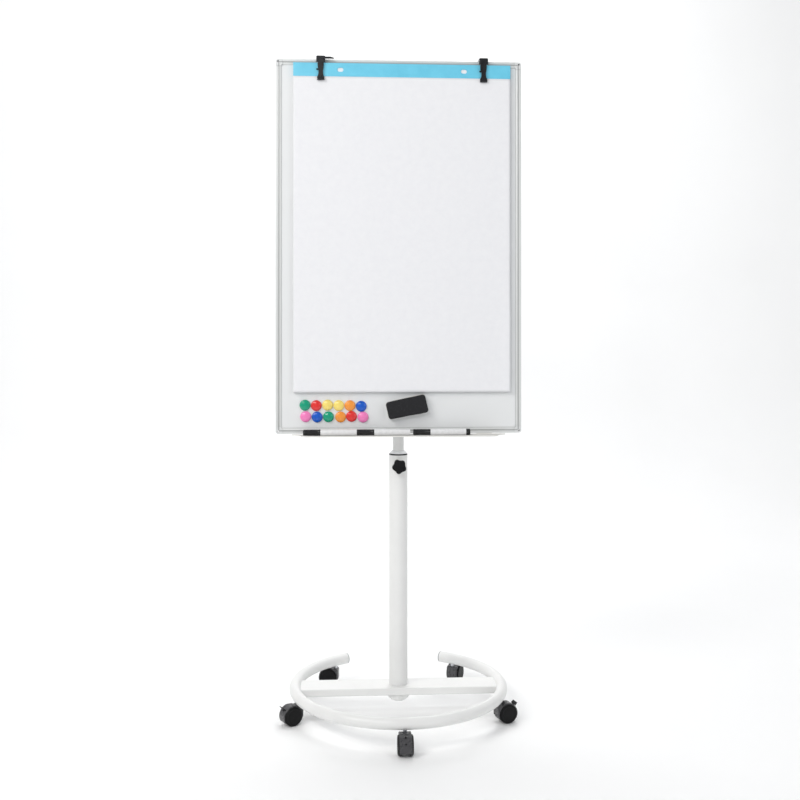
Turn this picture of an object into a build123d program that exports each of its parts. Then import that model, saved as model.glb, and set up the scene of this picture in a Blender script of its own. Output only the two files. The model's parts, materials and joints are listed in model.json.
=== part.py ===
from build123d import *
from math import cos, radians, sin
import os

# Mobile flipchart easel: a magnetic whiteboard with a paper pad on a telescopic post,
# which stands on an open ring base with five twin-wheel casters.
# Millimetres. X is to the right, Y is away from the person who writes, Z is up.
# The origin is on the floor under the axis of the post.

os.makedirs("parts", exist_ok=True)

# ---------------------------------------------------------------- driving dimensions
FIT = 0.05  # radial clearance of a pin or shaft that turns or slides
GAP = 0.3  # clearance between pieces that pass each other

# Base ring and crossbar
RING_RADIUS = 280
RING_TUBE_RADIUS = 15
RING_WALL = 2
RING_HEIGHT = 70
RING_GAP_HALF_ANGLE = 30
END_CAP_THICKNESS = 3
END_CAP_PLUG = 10
CROSSBAR_WIDTH = 80
CROSSBAR_CENTRE = 65
CROSSBAR_HEIGHT = 20
CROSSBAR_WALL = 2
CROSSBAR_CORNER = 3

# Telescopic post
OUTER_POST_RADIUS = 25
INNER_POST_RADIUS = 15
POST_WALL = 2
OUTER_POST_TOP = 698
INNER_POST_BOTTOM = 148
COLLAR_SLEEVE = 16
COLLAR_RIM = 3.5
COLLAR_CONE = 8
COLLAR_TIP_WALL = 1.5
GUIDE_LENGTH = 30
GUIDE_LIP = 3
FOOT_THICKNESS = 12
BASE_BOLT_RADIUS = 5
BASE_BOLT_HEAD = 6.4
BASE_BOLT_ACROSS_FLATS = 17
CUP_RADIUS = 33
CUP_HEIGHT = 26
CUP_WALL = 2

# Clamp knobs
KNOB_HEIGHT = 671
KNOB_LOBES = 5
KNOB_MEAN_RADIUS = 17.9
KNOB_LOBE_RISE = 1.7
KNOB_FIRST_LOBE = 46
KNOB_OUTLINE_POINTS = 40
KNOB_HEAD = 15
KNOB_HUB_RADIUS = 9
KNOB_HUB = 6.5
KNOB_BORE = 16
KNOB_EDGE = 2.5
KNOB_STANDOFF = 1.5  # height knob's back to the face of its boss
STUD_SHORTFALL = 1  # end of a stud to the blind end of its hole
STUD_RADIUS = 5 - FIT
BOSS_RADIUS = 9.5
BOSS_FACE = 33

# Tilt joint behind the board
TILT_HEIGHT = 1242
LUG_RADIUS = 13
LUG_THICKNESS = 12
HEAD_INSERT = 30
HEAD_FLANGE = 4
EAR_THICKNESS = 4
BRACKET_HALF_WIDTH = 16
BRACKET_HALF_HEIGHT = 45
BRACKET_CORNER = 4
BRACKET_PLATE = 3
TILT_BOLT_HEAD_RADIUS = 9
TILT_BOLT_HEAD = 4

# Board
BOARD_WIDTH = 660
BOARD_HEIGHT = 1000
BOARD_BOTTOM = 760
BOARD_FRONT = -44
FRAME_DEPTH = 18
FRAME_FACE = 16
FRAME_WALL = 1.6
FRAME_WEB = 9.6
FRAME_LIP = 2
GROOVE_START = 5.2
GROOVE_END = 6.4
GROOVE_DEPTH = 0.8
BEAD_END = 12.4
CAP_SIZE = 19
CAP_PROUD = 0.8
CAP_CORNER = 7
CAP_INNER_CHAMFER = 4
CAP_HOLE_INSET = 6.5
CAP_HOLE_RADIUS = 2.5
TENON_LENGTH = 12
LAMINATE_INSET = 9.8
SHEET_THICKNESS = 0.5
RAIL_THICKNESS = 4.5
RAIL_CORNER = 3
RAIL_HEIGHT = 16
RAIL_SPACING = 60
RAIL_HALF_LENGTH = 328
SCREW_RADIUS = 2
SCREW_HEAD_RADIUS = 3.6
SCREW_HEAD = 2

# Pen tray
TRAY_HALF_LENGTH = 286
TRAY_STRAIGHT_HALF = 236
TRAY_END_RADIUS = 26
TRAY_BACK = -45
TRAY_FRONT = -100
TRAY_FLOOR_TOP = 757
TRAY_FLOOR = 1.7
TRAY_LIP = 1.5
TRAY_LIP_THICKNESS = 2
TRAY_TAB_WIDTH = 40
TRAY_TABS = 3
TRAY_END_SLANT = 6  # shortening of the rim's back corner for each unit of inset
TRAY_TAB_BACK = -29
TRAY_TAB_PITCH = 230

# Paper pad
PAD_WIDTH = 582
PAD_SHIFT = 8
PAD_TOP = 1748.5
PAD_BOTTOM = 871
PAD_BACK = BOARD_FRONT - GAP
BAND_HEIGHT = 36
BAND_THICKNESS = 8.6
PAD_THICKNESS = 8
PUNCH_LENGTH = 16
PUNCH_WIDTH = 11
PUNCH_SPACING = 331
PAGE_TOP = 1697
PAGE_THICKNESS = 0.8

# Pad clips
CLIP_LEFT_X = -210
CLIP_RIGHT_X = 226
CLIP_ARM_BOTTOM = 1702
CLIP_TOP = 1766
CLIP_FOOT_HALF = 9.5
CLIP_FOOT_HEIGHT = 8
CLIP_LIP_HEIGHT = 5.5
CLIP_FOOT_LIP = 1.8
CLIP_NECK_HALF = 6.9
CLIP_BULGE_HALF = 8
CLIP_BULGE_HEIGHT = 1740.7
CLIP_WAIST_HALF = 6.4
CLIP_WAIST_HEIGHT = 1729
CLIP_SADDLE_HALF = 11.8
CLIP_SADDLE_HEIGHT = 16
CLIP_CORNER = 3
CLIP_ARM_THICKNESS = 5
CLIP_HOOK_THICKNESS = 3
CLIP_HOOK_DROP = 24
PEG_RADIUS = 2
PEG_REACH = 11.5
PEG_HEIGHT = 1730.5
LEVER_PIVOT_X = 7
LEVER_PIVOT_HEIGHT = 1760
LEVER_BOSS_RADIUS = 3.8
LEVER_LENGTH = 28.5
LEVER_WIDTH = 4.9
LEVER_TIP_DROP = 0.8
LEVER_THICKNESS = 3.5
LEVER_PIN_RADIUS = 1.5
LEVER_PIN_DEPTH = 3

# Things on the board and in the tray
MAGNET_RADIUS = 14.5
MAGNET_HEIGHT = 8
MAGNET_RIM = 2.4
MAGNETS_IN_ROW = 6
MAGNET_PITCH = 30
MAGNET_FIRST_X = -252
MAGNET_ROW_HEIGHT = 821
MAGNET_ROW_SPACING = 30.5
ERASER_LENGTH = 110
ERASER_WIDTH = 50
ERASER_THICKNESS = 22
ERASER_X = 20
ERASER_HEIGHT = 831
ERASER_TURN = 13
ERASER_ROUNDING = 4
MARKER_LENGTH = 141.5
MARKER_STARTS = {"left": -256.3, "middle": -114.3, "right": 34.9}
MARKER_CAP = 46
MARKER_CAP_RADIUS = 8
MARKER_CHAMFER = 1.5
MARKER_BODY_RADIUS = 8.5
MARKER_PLUG = 11
MARKER_Y = -73

# Casters
CASTER_HEIGHT = RING_HEIGHT - RING_TUBE_RADIUS
CASTER_TRAIL = 20
WHEEL_RADIUS = 25
WHEEL_INNER_FACE = 9.2
WHEEL_OUTER_FACE = 19.5
WHEEL_SHOULDER = 4.5  # radial depth of the rounded tread edge
WHEEL_ROUND = 5.5  # its depth along the axle
WHEEL_FACE_RIM = 1
WHEEL_RIM_SLOPE = 0.5
WHEEL_RECESS = 0.7
WHEEL_WEB = 3.2
WHEEL_RIM_WALL = 3.4
TREAD_ARC_DROP = (1.4, 1.9)  # middle of the rounded edge, inwards from the wheel's corner
HOOD_RADIUS = 27.5
HOOD_WIDTH = 31
HOOD_TOP = 52.5
HOOD_NOSE_TOP = 49
HOOD_NOSE_CORNER = 4
HOOD_SHOULDER = 5
HOOD_SKIRT = 12
HOOD_NOSE = 9
HOOD_NOSE_BOTTOM = 20
HOOD_EDGE = 1.5
WELL_RADIUS = 25.8
WEB_HALF = 8.7
STEM_RADIUS = 4.5
STEM_THREAD_RADIUS = 5
STEM_COLLAR_RADIUS = 5.6
STEM_THREAD = 13
STEM_DEPTH = 22
AXLE_RADIUS = 3
AXLE_HALF_LENGTH = 16.6
HOOD_HOLE_RADIUS = 2.1
HOOD_HOLE_DEPTH = 6
HOOD_HOLE_HEIGHTS = (36, 48)
BRAKE_ANGLE = 42
BRAKE_PIVOT_RADIUS = 20.5
BRAKE_BARREL_RADIUS = 2.4
BRAKE_NECK_HALF = 4
BRAKE_NECK_OVERLAP = 1  # length of the neck inside the pedal
BRAKE_PEDAL_START = 8.4
BRAKE_PEDAL_END = 17.5
BRAKE_PEDAL_HALF = 11
BRAKE_PIN_RADIUS = 1.5
BRAKE_PIN_HALF = 7
BRAKE_THICKNESS = 3
BRAKE_SWING_ROOM = 4.4

# Each caster: place on the ring and heading of its trailing wheels, in degrees from +X
CASTERS = {
    "front": (270, 270),
    "left": (195.5, 210),
    "right": (338.5, 18),
    "rear_left": (127.9, 172),
    "rear_right": (51.8, 62),
}
BRAKED = ("left", "right", "rear_right")


def export_piece(piece, name):
    """Label a finished piece and write it as one STEP file."""
    piece.part.label = name
    export_step(piece.part, f"parts/{name}.step")


def polar(radius, angle, height=0.0):
    """Point at an angle about the post's axis."""
    return (radius * cos(radians(angle)), radius * sin(radians(angle)), height)


# ---------------------------------------------------------------- base ring
ring_start = 90 + RING_GAP_HALF_ANGLE
ring_sweep = 360 - 2 * RING_GAP_HALF_ANGLE
stem_points = [polar(RING_RADIUS, place, CASTER_HEIGHT) for place, _ in CASTERS.values()]
start_section = Plane(
    origin=(0, 0, RING_HEIGHT),
    x_dir=polar(1, ring_start),
    z_dir=polar(1, ring_start - 90),
)

with BuildPart() as base_ring:
    with BuildSketch(start_section):
        with Locations((RING_RADIUS, 0)):
            Circle(RING_TUBE_RADIUS)
            Circle(RING_TUBE_RADIUS - RING_WALL, mode=Mode.SUBTRACT)
    revolve(axis=Axis.Z, revolution_arc=ring_sweep)
    with Locations(stem_points):
        Cylinder(STEM_THREAD_RADIUS + FIT, 3 * RING_WALL, mode=Mode.SUBTRACT)
export_piece(base_ring, "base_ring")

# A moulded cap with a plug closes each end of the tube.
with BuildPart() as end_cap:
    Cylinder(RING_TUBE_RADIUS, END_CAP_THICKNESS, align=(Align.CENTER, Align.CENTER, Align.MIN))
    fillet(end_cap.edges().sort_by(Axis.Z)[-1], END_CAP_THICKNESS / 2)
    Cylinder(
        RING_TUBE_RADIUS - RING_WALL - GAP,
        END_CAP_PLUG,
        align=(Align.CENTER, Align.CENTER, Align.MAX),
    )

gap_sides = (90 + RING_GAP_HALF_ANGLE, 90 - RING_GAP_HALF_ANGLE)
end_planes = [
    Plane(
        origin=polar(RING_RADIUS, angle, RING_HEIGHT),
        x_dir=(0, 0, 1),
        z_dir=polar(1, angle - 90 if angle > 90 else angle + 90),
    )
    for angle in gap_sides
]
with BuildPart() as ring_end_caps:
    with Locations(*end_planes):
        add(end_cap)
export_piece(ring_end_caps, "ring_end_caps")

# ---------------------------------------------------------------- crossbar and its fixings
crossbar_bottom = CROSSBAR_CENTRE - CROSSBAR_HEIGHT / 2
crossbar_top = CROSSBAR_CENTRE + CROSSBAR_HEIGHT / 2

with BuildPart() as crossbar:
    with BuildSketch(Plane.YZ):
        with Locations((0, CROSSBAR_CENTRE)):
            RectangleRounded(CROSSBAR_WIDTH, CROSSBAR_HEIGHT, CROSSBAR_CORNER)
            RectangleRounded(
                CROSSBAR_WIDTH - 2 * CROSSBAR_WALL,
                CROSSBAR_HEIGHT - 2 * CROSSBAR_WALL,
                CROSSBAR_CORNER - CROSSBAR_WALL,
                mode=Mode.SUBTRACT,
            )
    extrude(amount=RING_RADIUS - RING_TUBE_RADIUS / 3, both=True)
    # The ends are coped to the round of the ring tube, where they are welded.
    with BuildSketch(Plane.XZ):
        with Locations((RING_RADIUS, RING_HEIGHT)):
            Circle(RING_TUBE_RADIUS + FIT)
    revolve(axis=Axis.Z, mode=Mode.SUBTRACT)
    with Locations((0, 0, CROSSBAR_CENTRE)):
        Cylinder(BASE_BOLT_RADIUS + GAP, CROSSBAR_HEIGHT, mode=Mode.SUBTRACT)
export_piece(crossbar, "crossbar")

# Bolt that holds the crossbar to the post, with its head inside the cup below
with BuildPart() as base_bolt:
    with BuildSketch(Plane.XY.offset(crossbar_bottom)):
        RegularPolygon(BASE_BOLT_ACROSS_FLATS / 2, 6, major_radius=False)
    extrude(amount=-BASE_BOLT_HEAD)
    with BuildSketch(Plane.XY.offset(crossbar_bottom)):
        Circle(BASE_BOLT_RADIUS - FIT)
    extrude(amount=CROSSBAR_HEIGHT + FOOT_THICKNESS - STUD_SHORTFALL)
export_piece(base_bolt, "base_bolt")

with BuildPart() as bottom_cup:
    with BuildSketch(Plane.XZ):
        with BuildLine():
            cup_centre = (0, crossbar_bottom)
            inner_radius = CUP_RADIUS - CUP_WALL
            inner_height = CUP_HEIGHT - CUP_WALL
            EllipticalCenterArc(cup_centre, CUP_RADIUS, CUP_HEIGHT, start_angle=270, arc_size=90)
            EllipticalCenterArc(cup_centre, inner_radius, inner_height, start_angle=270, arc_size=90)
            Line((inner_radius, crossbar_bottom), (CUP_RADIUS, crossbar_bottom))
            Line((0, crossbar_bottom - CUP_HEIGHT), (0, crossbar_bottom - inner_height))
        make_face()
    revolve(axis=Axis.Z)
export_piece(bottom_cup, "bottom_cup")

# ---------------------------------------------------------------- outer post
with BuildPart() as outer_post:
    with BuildSketch(Plane.XY.offset(crossbar_top)):
        Circle(OUTER_POST_RADIUS)
        Circle(OUTER_POST_RADIUS - POST_WALL, mode=Mode.SUBTRACT)
    extrude(amount=OUTER_POST_TOP - crossbar_top)
    with BuildSketch(Plane.XZ):
        with Locations((0, KNOB_HEIGHT)):
            Circle(STUD_RADIUS + GAP + FIT)
    extrude(amount=OUTER_POST_RADIUS + POST_WALL, mode=Mode.SUBTRACT)
export_piece(outer_post, "outer_post")

# Threaded plug, welded inside the foot of the post, that takes the base bolt
with BuildPart() as post_foot:
    with BuildSketch(Plane.XY.offset(crossbar_top)):
        Circle(OUTER_POST_RADIUS - POST_WALL - FIT)
        Circle(BASE_BOLT_RADIUS, mode=Mode.SUBTRACT)
    extrude(amount=FOOT_THICKNESS)
export_piece(post_foot, "post_foot")

with BuildPart() as knob_boss:
    with BuildSketch(Plane.XZ):
        with Locations((0, KNOB_HEIGHT)):
            Circle(BOSS_RADIUS)
            Circle(STUD_RADIUS + FIT, mode=Mode.SUBTRACT)
    extrude(amount=BOSS_FACE)
    with BuildSketch(Plane.XY.offset(KNOB_HEIGHT - 2 * BOSS_RADIUS)):
        Circle(OUTER_POST_RADIUS + FIT)
    extrude(amount=4 * BOSS_RADIUS, mode=Mode.SUBTRACT)
export_piece(knob_boss, "knob_boss")

# Collar that closes the top of the outer post and guides the inner one
with BuildPart() as post_collar:
    with BuildSketch(Plane.XZ):
        with BuildLine():
            sleeve_radius = OUTER_POST_RADIUS - POST_WALL - FIT
            bore = INNER_POST_RADIUS + FIT
            Polyline(
                (bore, OUTER_POST_TOP - COLLAR_SLEEVE),
                (sleeve_radius, OUTER_POST_TOP - COLLAR_SLEEVE),
                (sleeve_radius, OUTER_POST_TOP),
                (OUTER_POST_RADIUS - FIT, OUTER_POST_TOP),
                (OUTER_POST_RADIUS - FIT, OUTER_POST_TOP + COLLAR_RIM),
                (INNER_POST_RADIUS + COLLAR_TIP_WALL, OUTER_POST_TOP + COLLAR_RIM + COLLAR_CONE),
                (bore, OUTER_POST_TOP + COLLAR_RIM + COLLAR_CONE),
                close=True,
            )
        make_face()
    revolve(axis=Axis.Z)
export_piece(post_collar, "post_collar")

# ---------------------------------------------------------------- inner post
lug_foot = TILT_HEIGHT - LUG_RADIUS - 3
inner_post_top = lug_foot - HEAD_FLANGE

with BuildPart() as inner_post:
    with BuildSketch(Plane.XY.offset(INNER_POST_BOTTOM)):
        Circle(INNER_POST_RADIUS)
        Circle(INNER_POST_RADIUS - POST_WALL, mode=Mode.SUBTRACT)
    extrude(amount=inner_post_top - INNER_POST_BOTTOM)
export_piece(inner_post, "inner_post")

# Bush on the lower end of the inner post that slides in the outer one
with BuildPart() as post_guide:
    with BuildSketch(Plane.XY.offset(INNER_POST_BOTTOM - GUIDE_LIP)):
        Circle(OUTER_POST_RADIUS - POST_WALL - FIT)
    extrude(amount=GUIDE_LENGTH + GUIDE_LIP)
    with BuildSketch(Plane.XY.offset(INNER_POST_BOTTOM - FIT)):
        Circle(INNER_POST_RADIUS + FIT)
    extrude(amount=GUIDE_LENGTH + FIT, mode=Mode.SUBTRACT)
    with BuildSketch(Plane.XY.offset(INNER_POST_BOTTOM - GUIDE_LIP)):
        Circle(INNER_POST_RADIUS - POST_WALL)
    extrude(amount=GUIDE_LIP, mode=Mode.SUBTRACT)
export_piece(post_guide, "post_guide")

with BuildPart() as post_head:
    with BuildSketch(Plane.XY.offset(inner_post_top)):
        Circle(INNER_POST_RADIUS - POST_WALL - FIT)
    extrude(amount=-HEAD_INSERT)
    with BuildSketch(Plane.XY.offset(inner_post_top)):
        Circle(INNER_POST_RADIUS)
    extrude(amount=HEAD_FLANGE)
    with BuildSketch(Plane.YZ):
        with Locations((0, TILT_HEIGHT)):
            Circle(LUG_RADIUS)
        with Locations((0, (lug_foot + TILT_HEIGHT) / 2)):
            Rectangle(2 * LUG_RADIUS, TILT_HEIGHT - lug_foot)
        with Locations((0, TILT_HEIGHT)):
            Circle(STUD_RADIUS + FIT, mode=Mode.SUBTRACT)
    extrude(amount=LUG_THICKNESS / 2, both=True)
export_piece(post_head, "post_head")

ear_inner = LUG_THICKNESS / 2 + GAP
ear_outer = ear_inner + EAR_THICKNESS
knob_seat = ear_outer + 2 * GAP

with BuildPart() as tilt_bolt:
    with BuildSketch(Plane.YZ.offset(-ear_outer - GAP)):
        with Locations((0, TILT_HEIGHT)):
            Circle(STUD_RADIUS)
    extrude(amount=ear_outer + GAP + knob_seat + KNOB_BORE - STUD_SHORTFALL)
    with BuildSketch(Plane.YZ.offset(-ear_outer - GAP)):
        with Locations((0, TILT_HEIGHT)):
            Circle(TILT_BOLT_HEAD_RADIUS)
    extrude(amount=-TILT_BOLT_HEAD)
    fillet(tilt_bolt.edges().sort_by(Axis.X)[0], TILT_BOLT_HEAD / 2)
export_piece(tilt_bolt, "tilt_bolt")

# ---------------------------------------------------------------- clamp knobs
# Moulded five-lobed knob, drawn with its back on the XY plane
with BuildPart() as star_knob:
    with BuildSketch():
        Circle(KNOB_HUB_RADIUS)
    extrude(amount=KNOB_HUB)
    with BuildSketch(Plane.XY.offset(KNOB_HUB)):
        with BuildLine():
            turns = [360 * step / KNOB_OUTLINE_POINTS for step in range(KNOB_OUTLINE_POINTS)]
            radii = [
                KNOB_MEAN_RADIUS + KNOB_LOBE_RISE * cos(radians(KNOB_LOBES * (turn - KNOB_FIRST_LOBE)))
                for turn in turns
            ]
            Spline([polar(radius, turn) for radius, turn in zip(radii, turns)], periodic=True)
        make_face()
    extrude(amount=KNOB_HEAD)
    fillet(star_knob.faces().sort_by(Axis.Z)[-1].edges(), KNOB_EDGE)
    with BuildSketch():
        Circle(STUD_RADIUS + FIT)
    extrude(amount=KNOB_BORE, mode=Mode.SUBTRACT)

height_knob_back = (0, -BOSS_FACE - KNOB_STANDOFF, KNOB_HEIGHT)
height_knob_plane = Plane(origin=height_knob_back, x_dir=(1, 0, 0), z_dir=(0, -1, 0))
tilt_knob_plane = Plane(origin=(knob_seat, 0, TILT_HEIGHT), x_dir=(0, 1, 0), z_dir=(1, 0, 0))
for name, knob_plane in (("height_knob", height_knob_plane), ("tilt_knob", tilt_knob_plane)):
    with BuildPart() as knob:
        with Locations(knob_plane):
            add(star_knob)
    export_piece(knob, name)

# The stud of the height knob stops just short of the inner post.
with BuildPart() as height_knob_stud:
    with BuildSketch(Plane.XZ.offset(INNER_POST_RADIUS + GAP)):
        with Locations((0, KNOB_HEIGHT)):
            Circle(STUD_RADIUS)
    extrude(amount=BOSS_FACE + KNOB_BORE - INNER_POST_RADIUS)
export_piece(height_knob_stud, "height_knob_stud")

# ---------------------------------------------------------------- board frame
board_top = BOARD_BOTTOM + BOARD_HEIGHT
board_middle = BOARD_BOTTOM + BOARD_HEIGHT / 2
board_back = BOARD_FRONT + FRAME_DEPTH
half_width = BOARD_WIDTH / 2

# Each member starts at a corner cap. Its profile is drawn from the outer edge inwards
# and from the front backwards.
members = {
    "frame_left": (
        Plane(origin=(-half_width, BOARD_FRONT, BOARD_BOTTOM + CAP_SIZE), x_dir=(1, 0, 0), z_dir=(0, 0, 1)),
        BOARD_HEIGHT,
    ),
    "frame_right": (
        Plane(origin=(half_width, BOARD_FRONT, board_top - CAP_SIZE), x_dir=(-1, 0, 0), z_dir=(0, 0, -1)),
        BOARD_HEIGHT,
    ),
    "frame_top": (
        Plane(origin=(CAP_SIZE - half_width, BOARD_FRONT, board_top), x_dir=(0, 0, -1), z_dir=(1, 0, 0)),
        BOARD_WIDTH,
    ),
    "frame_bottom": (
        Plane(origin=(half_width - CAP_SIZE, BOARD_FRONT, BOARD_BOTTOM), x_dir=(0, 0, 1), z_dir=(-1, 0, 0)),
        BOARD_WIDTH,
    ),
}
for name, (member_plane, full_length) in members.items():
    with BuildPart() as member:
        with BuildSketch(member_plane) as profile:
            with BuildLine():
                bead_foot = (GROOVE_END, GROOVE_DEPTH)
                bead_crest = ((GROOVE_END + BEAD_END) / 2, 0)
                bead_end = (BEAD_END, GROOVE_DEPTH)
                Polyline((0, 0), (GROOVE_START, 0), (GROOVE_START, GROOVE_DEPTH), bead_foot)
                ThreePointArc(bead_foot, bead_crest, bead_end)
                Polyline(
                    bead_end,
                    (FRAME_FACE, GROOVE_DEPTH + FRAME_LIP / 5),
                    (FRAME_FACE, FRAME_LIP),
                    (FRAME_WEB, FRAME_LIP),
                    (FRAME_WEB, FRAME_DEPTH - FRAME_LIP),
                    (FRAME_FACE - FRAME_LIP, FRAME_DEPTH - FRAME_LIP),
                    (FRAME_FACE - FRAME_LIP, FRAME_DEPTH),
                    (0, FRAME_DEPTH),
                    (0, 0),
                )
            make_face()
            chamber = FRAME_WEB - 2 * FRAME_WALL
            with Locations((FRAME_WALL + chamber / 2, FRAME_DEPTH / 2)):
                RectangleRounded(chamber, FRAME_DEPTH - 2 * FRAME_LIP, 1, mode=Mode.SUBTRACT)
        extrude(amount=full_length - 2 * CAP_SIZE)
    export_piece(member, name)

# Corner cap with a screw hole for a wall, and a tenon in each frame member
cap_reach = CAP_SIZE - GAP / 2
with BuildPart() as corner_caps:
    cap_face = Plane(
        origin=(-half_width, BOARD_FRONT - CAP_PROUD, BOARD_BOTTOM), x_dir=(1, 0, 0), z_dir=(0, -1, 0)
    )
    with BuildSketch(cap_face) as cap_outline:
        with Locations((cap_reach / 2, cap_reach / 2)):
            Rectangle(cap_reach, cap_reach)
        fillet(cap_outline.vertices().sort_by_distance(cap_face.origin)[0], CAP_CORNER)
        chamfer(cap_outline.vertices().sort_by_distance(cap_face.origin)[-1], CAP_INNER_CHAMFER)
    extrude(amount=-(FRAME_DEPTH + 2 * CAP_PROUD))
    with BuildSketch(cap_face):
        with Locations((CAP_HOLE_INSET, CAP_HOLE_INSET)):
            Circle(CAP_HOLE_RADIUS)
    extrude(amount=-(FRAME_DEPTH + 2 * CAP_PROUD), mode=Mode.SUBTRACT)
    pocket_depth = FRAME_DEPTH - 2 * FRAME_LIP + GAP
    pocket_corner = Plane(
        origin=(FRAME_WEB - half_width, BOARD_FRONT + FRAME_LIP - GAP / 2, BOARD_BOTTOM + FRAME_WEB)
    )
    with Locations(pocket_corner):
        Box(CAP_SIZE, pocket_depth, CAP_SIZE, align=(Align.MIN, Align.MIN, Align.MIN), mode=Mode.SUBTRACT)
    tenon_width = chamber - 2 * GAP
    tenon_depth = FRAME_DEPTH - 2 * FRAME_LIP - 4 * GAP
    tenon_middle = FRAME_WALL + chamber / 2
    board_centre_line = BOARD_FRONT + FRAME_DEPTH / 2
    with Locations((tenon_middle - half_width, board_centre_line, BOARD_BOTTOM + cap_reach)):
        Box(tenon_width, tenon_depth, TENON_LENGTH, align=(Align.CENTER, Align.CENTER, Align.MIN))
    with Locations((cap_reach - half_width, board_centre_line, BOARD_BOTTOM + tenon_middle)):
        Box(TENON_LENGTH, tenon_depth, tenon_width, align=(Align.MIN, Align.CENTER, Align.CENTER))
    mirror(about=Plane.YZ)
    mirror(about=Plane.XY.offset(board_middle))
export_piece(corner_caps, "corner_caps")

# ---------------------------------------------------------------- board laminate
laminate_width = BOARD_WIDTH - 2 * LAMINATE_INSET
laminate_height = BOARD_HEIGHT - 2 * LAMINATE_INSET
laminate_front = BOARD_FRONT + FRAME_LIP + FIT
laminate_depth = FRAME_DEPTH - 2 * FRAME_LIP - 2 * FIT
layers = {
    "board_face": (laminate_front, SHEET_THICKNESS),
    "board_core": (laminate_front + SHEET_THICKNESS, laminate_depth - 2 * SHEET_THICKNESS),
    "board_back": (laminate_front + laminate_depth - SHEET_THICKNESS, SHEET_THICKNESS),
}
for name, (front, thickness) in layers.items():
    with BuildPart() as layer:
        with BuildSketch(Plane.XZ.offset(-front)):
            with Locations((0, board_middle)):
                Rectangle(laminate_width, laminate_height)
        extrude(amount=-thickness)
    export_piece(layer, name)

# ---------------------------------------------------------------- tilt bracket and rails
rail_back = board_back + RAIL_THICKNESS
plate_back = rail_back + BRACKET_PLATE
rail_heights = (TILT_HEIGHT - RAIL_SPACING / 2, TILT_HEIGHT + RAIL_SPACING / 2)
bracket_screw_x = BRACKET_HALF_WIDTH - 2 * SCREW_HEAD_RADIUS
rail_screw_x = half_width - FRAME_FACE / 2

with BuildPart() as back_rails:
    with BuildSketch(Plane.XZ.offset(-board_back)):
        with Locations(*[(0, height) for height in rail_heights]):
            RectangleRounded(2 * RAIL_HALF_LENGTH, RAIL_HEIGHT, RAIL_CORNER)
            with GridLocations(2 * rail_screw_x, 1, 2, 1):
                Circle(SCREW_RADIUS + FIT, mode=Mode.SUBTRACT)
            with GridLocations(2 * bracket_screw_x, 1, 2, 1):
                Circle(SCREW_RADIUS + FIT, mode=Mode.SUBTRACT)
    extrude(amount=-RAIL_THICKNESS)
export_piece(back_rails, "back_rails")

with BuildPart() as tilt_bracket:
    with BuildSketch(Plane.XZ.offset(-rail_back)):
        with Locations((0, TILT_HEIGHT)):
            RectangleRounded(2 * BRACKET_HALF_WIDTH, 2 * BRACKET_HALF_HEIGHT, BRACKET_CORNER)
        with Locations(*[(0, height) for height in rail_heights]):
            with GridLocations(2 * bracket_screw_x, 1, 2, 1):
                Circle(SCREW_RADIUS + FIT, mode=Mode.SUBTRACT)
    extrude(amount=-BRACKET_PLATE)
    for side in (-1, 1):
        with BuildSketch(Plane.YZ.offset(side * ear_inner)):
            with Locations((0, TILT_HEIGHT)):
                Circle(LUG_RADIUS)
            with Locations((plate_back / 2, TILT_HEIGHT)):
                Rectangle(-plate_back, 2 * LUG_RADIUS)
            with Locations((0, TILT_HEIGHT)):
                Circle(STUD_RADIUS + FIT, mode=Mode.SUBTRACT)
        extrude(amount=side * EAR_THICKNESS)
export_piece(tilt_bracket, "tilt_bracket")

# Pan-head screw, drawn with its head above the XY plane
with BuildPart() as pan_screw:
    Cylinder(SCREW_HEAD_RADIUS, SCREW_HEAD, align=(Align.CENTER, Align.CENTER, Align.MIN))
    fillet(pan_screw.edges().sort_by(Axis.Z)[-1], SCREW_HEAD / 2)
    Cylinder(SCREW_RADIUS, RAIL_THICKNESS, align=(Align.CENTER, Align.CENTER, Align.MAX))

screw_planes = [
    Plane(origin=(side * x, seat, height), x_dir=(1, 0, 0), z_dir=(0, 1, 0))
    for height in rail_heights
    for x, seat in ((rail_screw_x, rail_back), (bracket_screw_x, plate_back))
    for side in (-1, 1)
]
with BuildPart() as back_screws:
    with Locations(*screw_planes):
        add(pan_screw)
export_piece(back_screws, "back_screws")

# ---------------------------------------------------------------- pen tray
def draw_tray_edge(inset):
    """Closed outline of the tray in plan, with S-shaped ends, moved inwards by the inset."""
    front_corner = (TRAY_STRAIGHT_HALF, TRAY_FRONT + inset)
    end_middle = (TRAY_STRAIGHT_HALF + TRAY_END_RADIUS - inset, TRAY_FRONT + TRAY_END_RADIUS)
    back_corner = (TRAY_HALF_LENGTH - TRAY_END_SLANT * inset, TRAY_BACK - inset)
    Line((0, TRAY_FRONT + inset), front_corner)
    TangentArc(front_corner, end_middle, tangent=(1, 0))
    TangentArc(end_middle, back_corner, tangent=(0, 1))
    Line(back_corner, (0, TRAY_BACK - inset))


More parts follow.
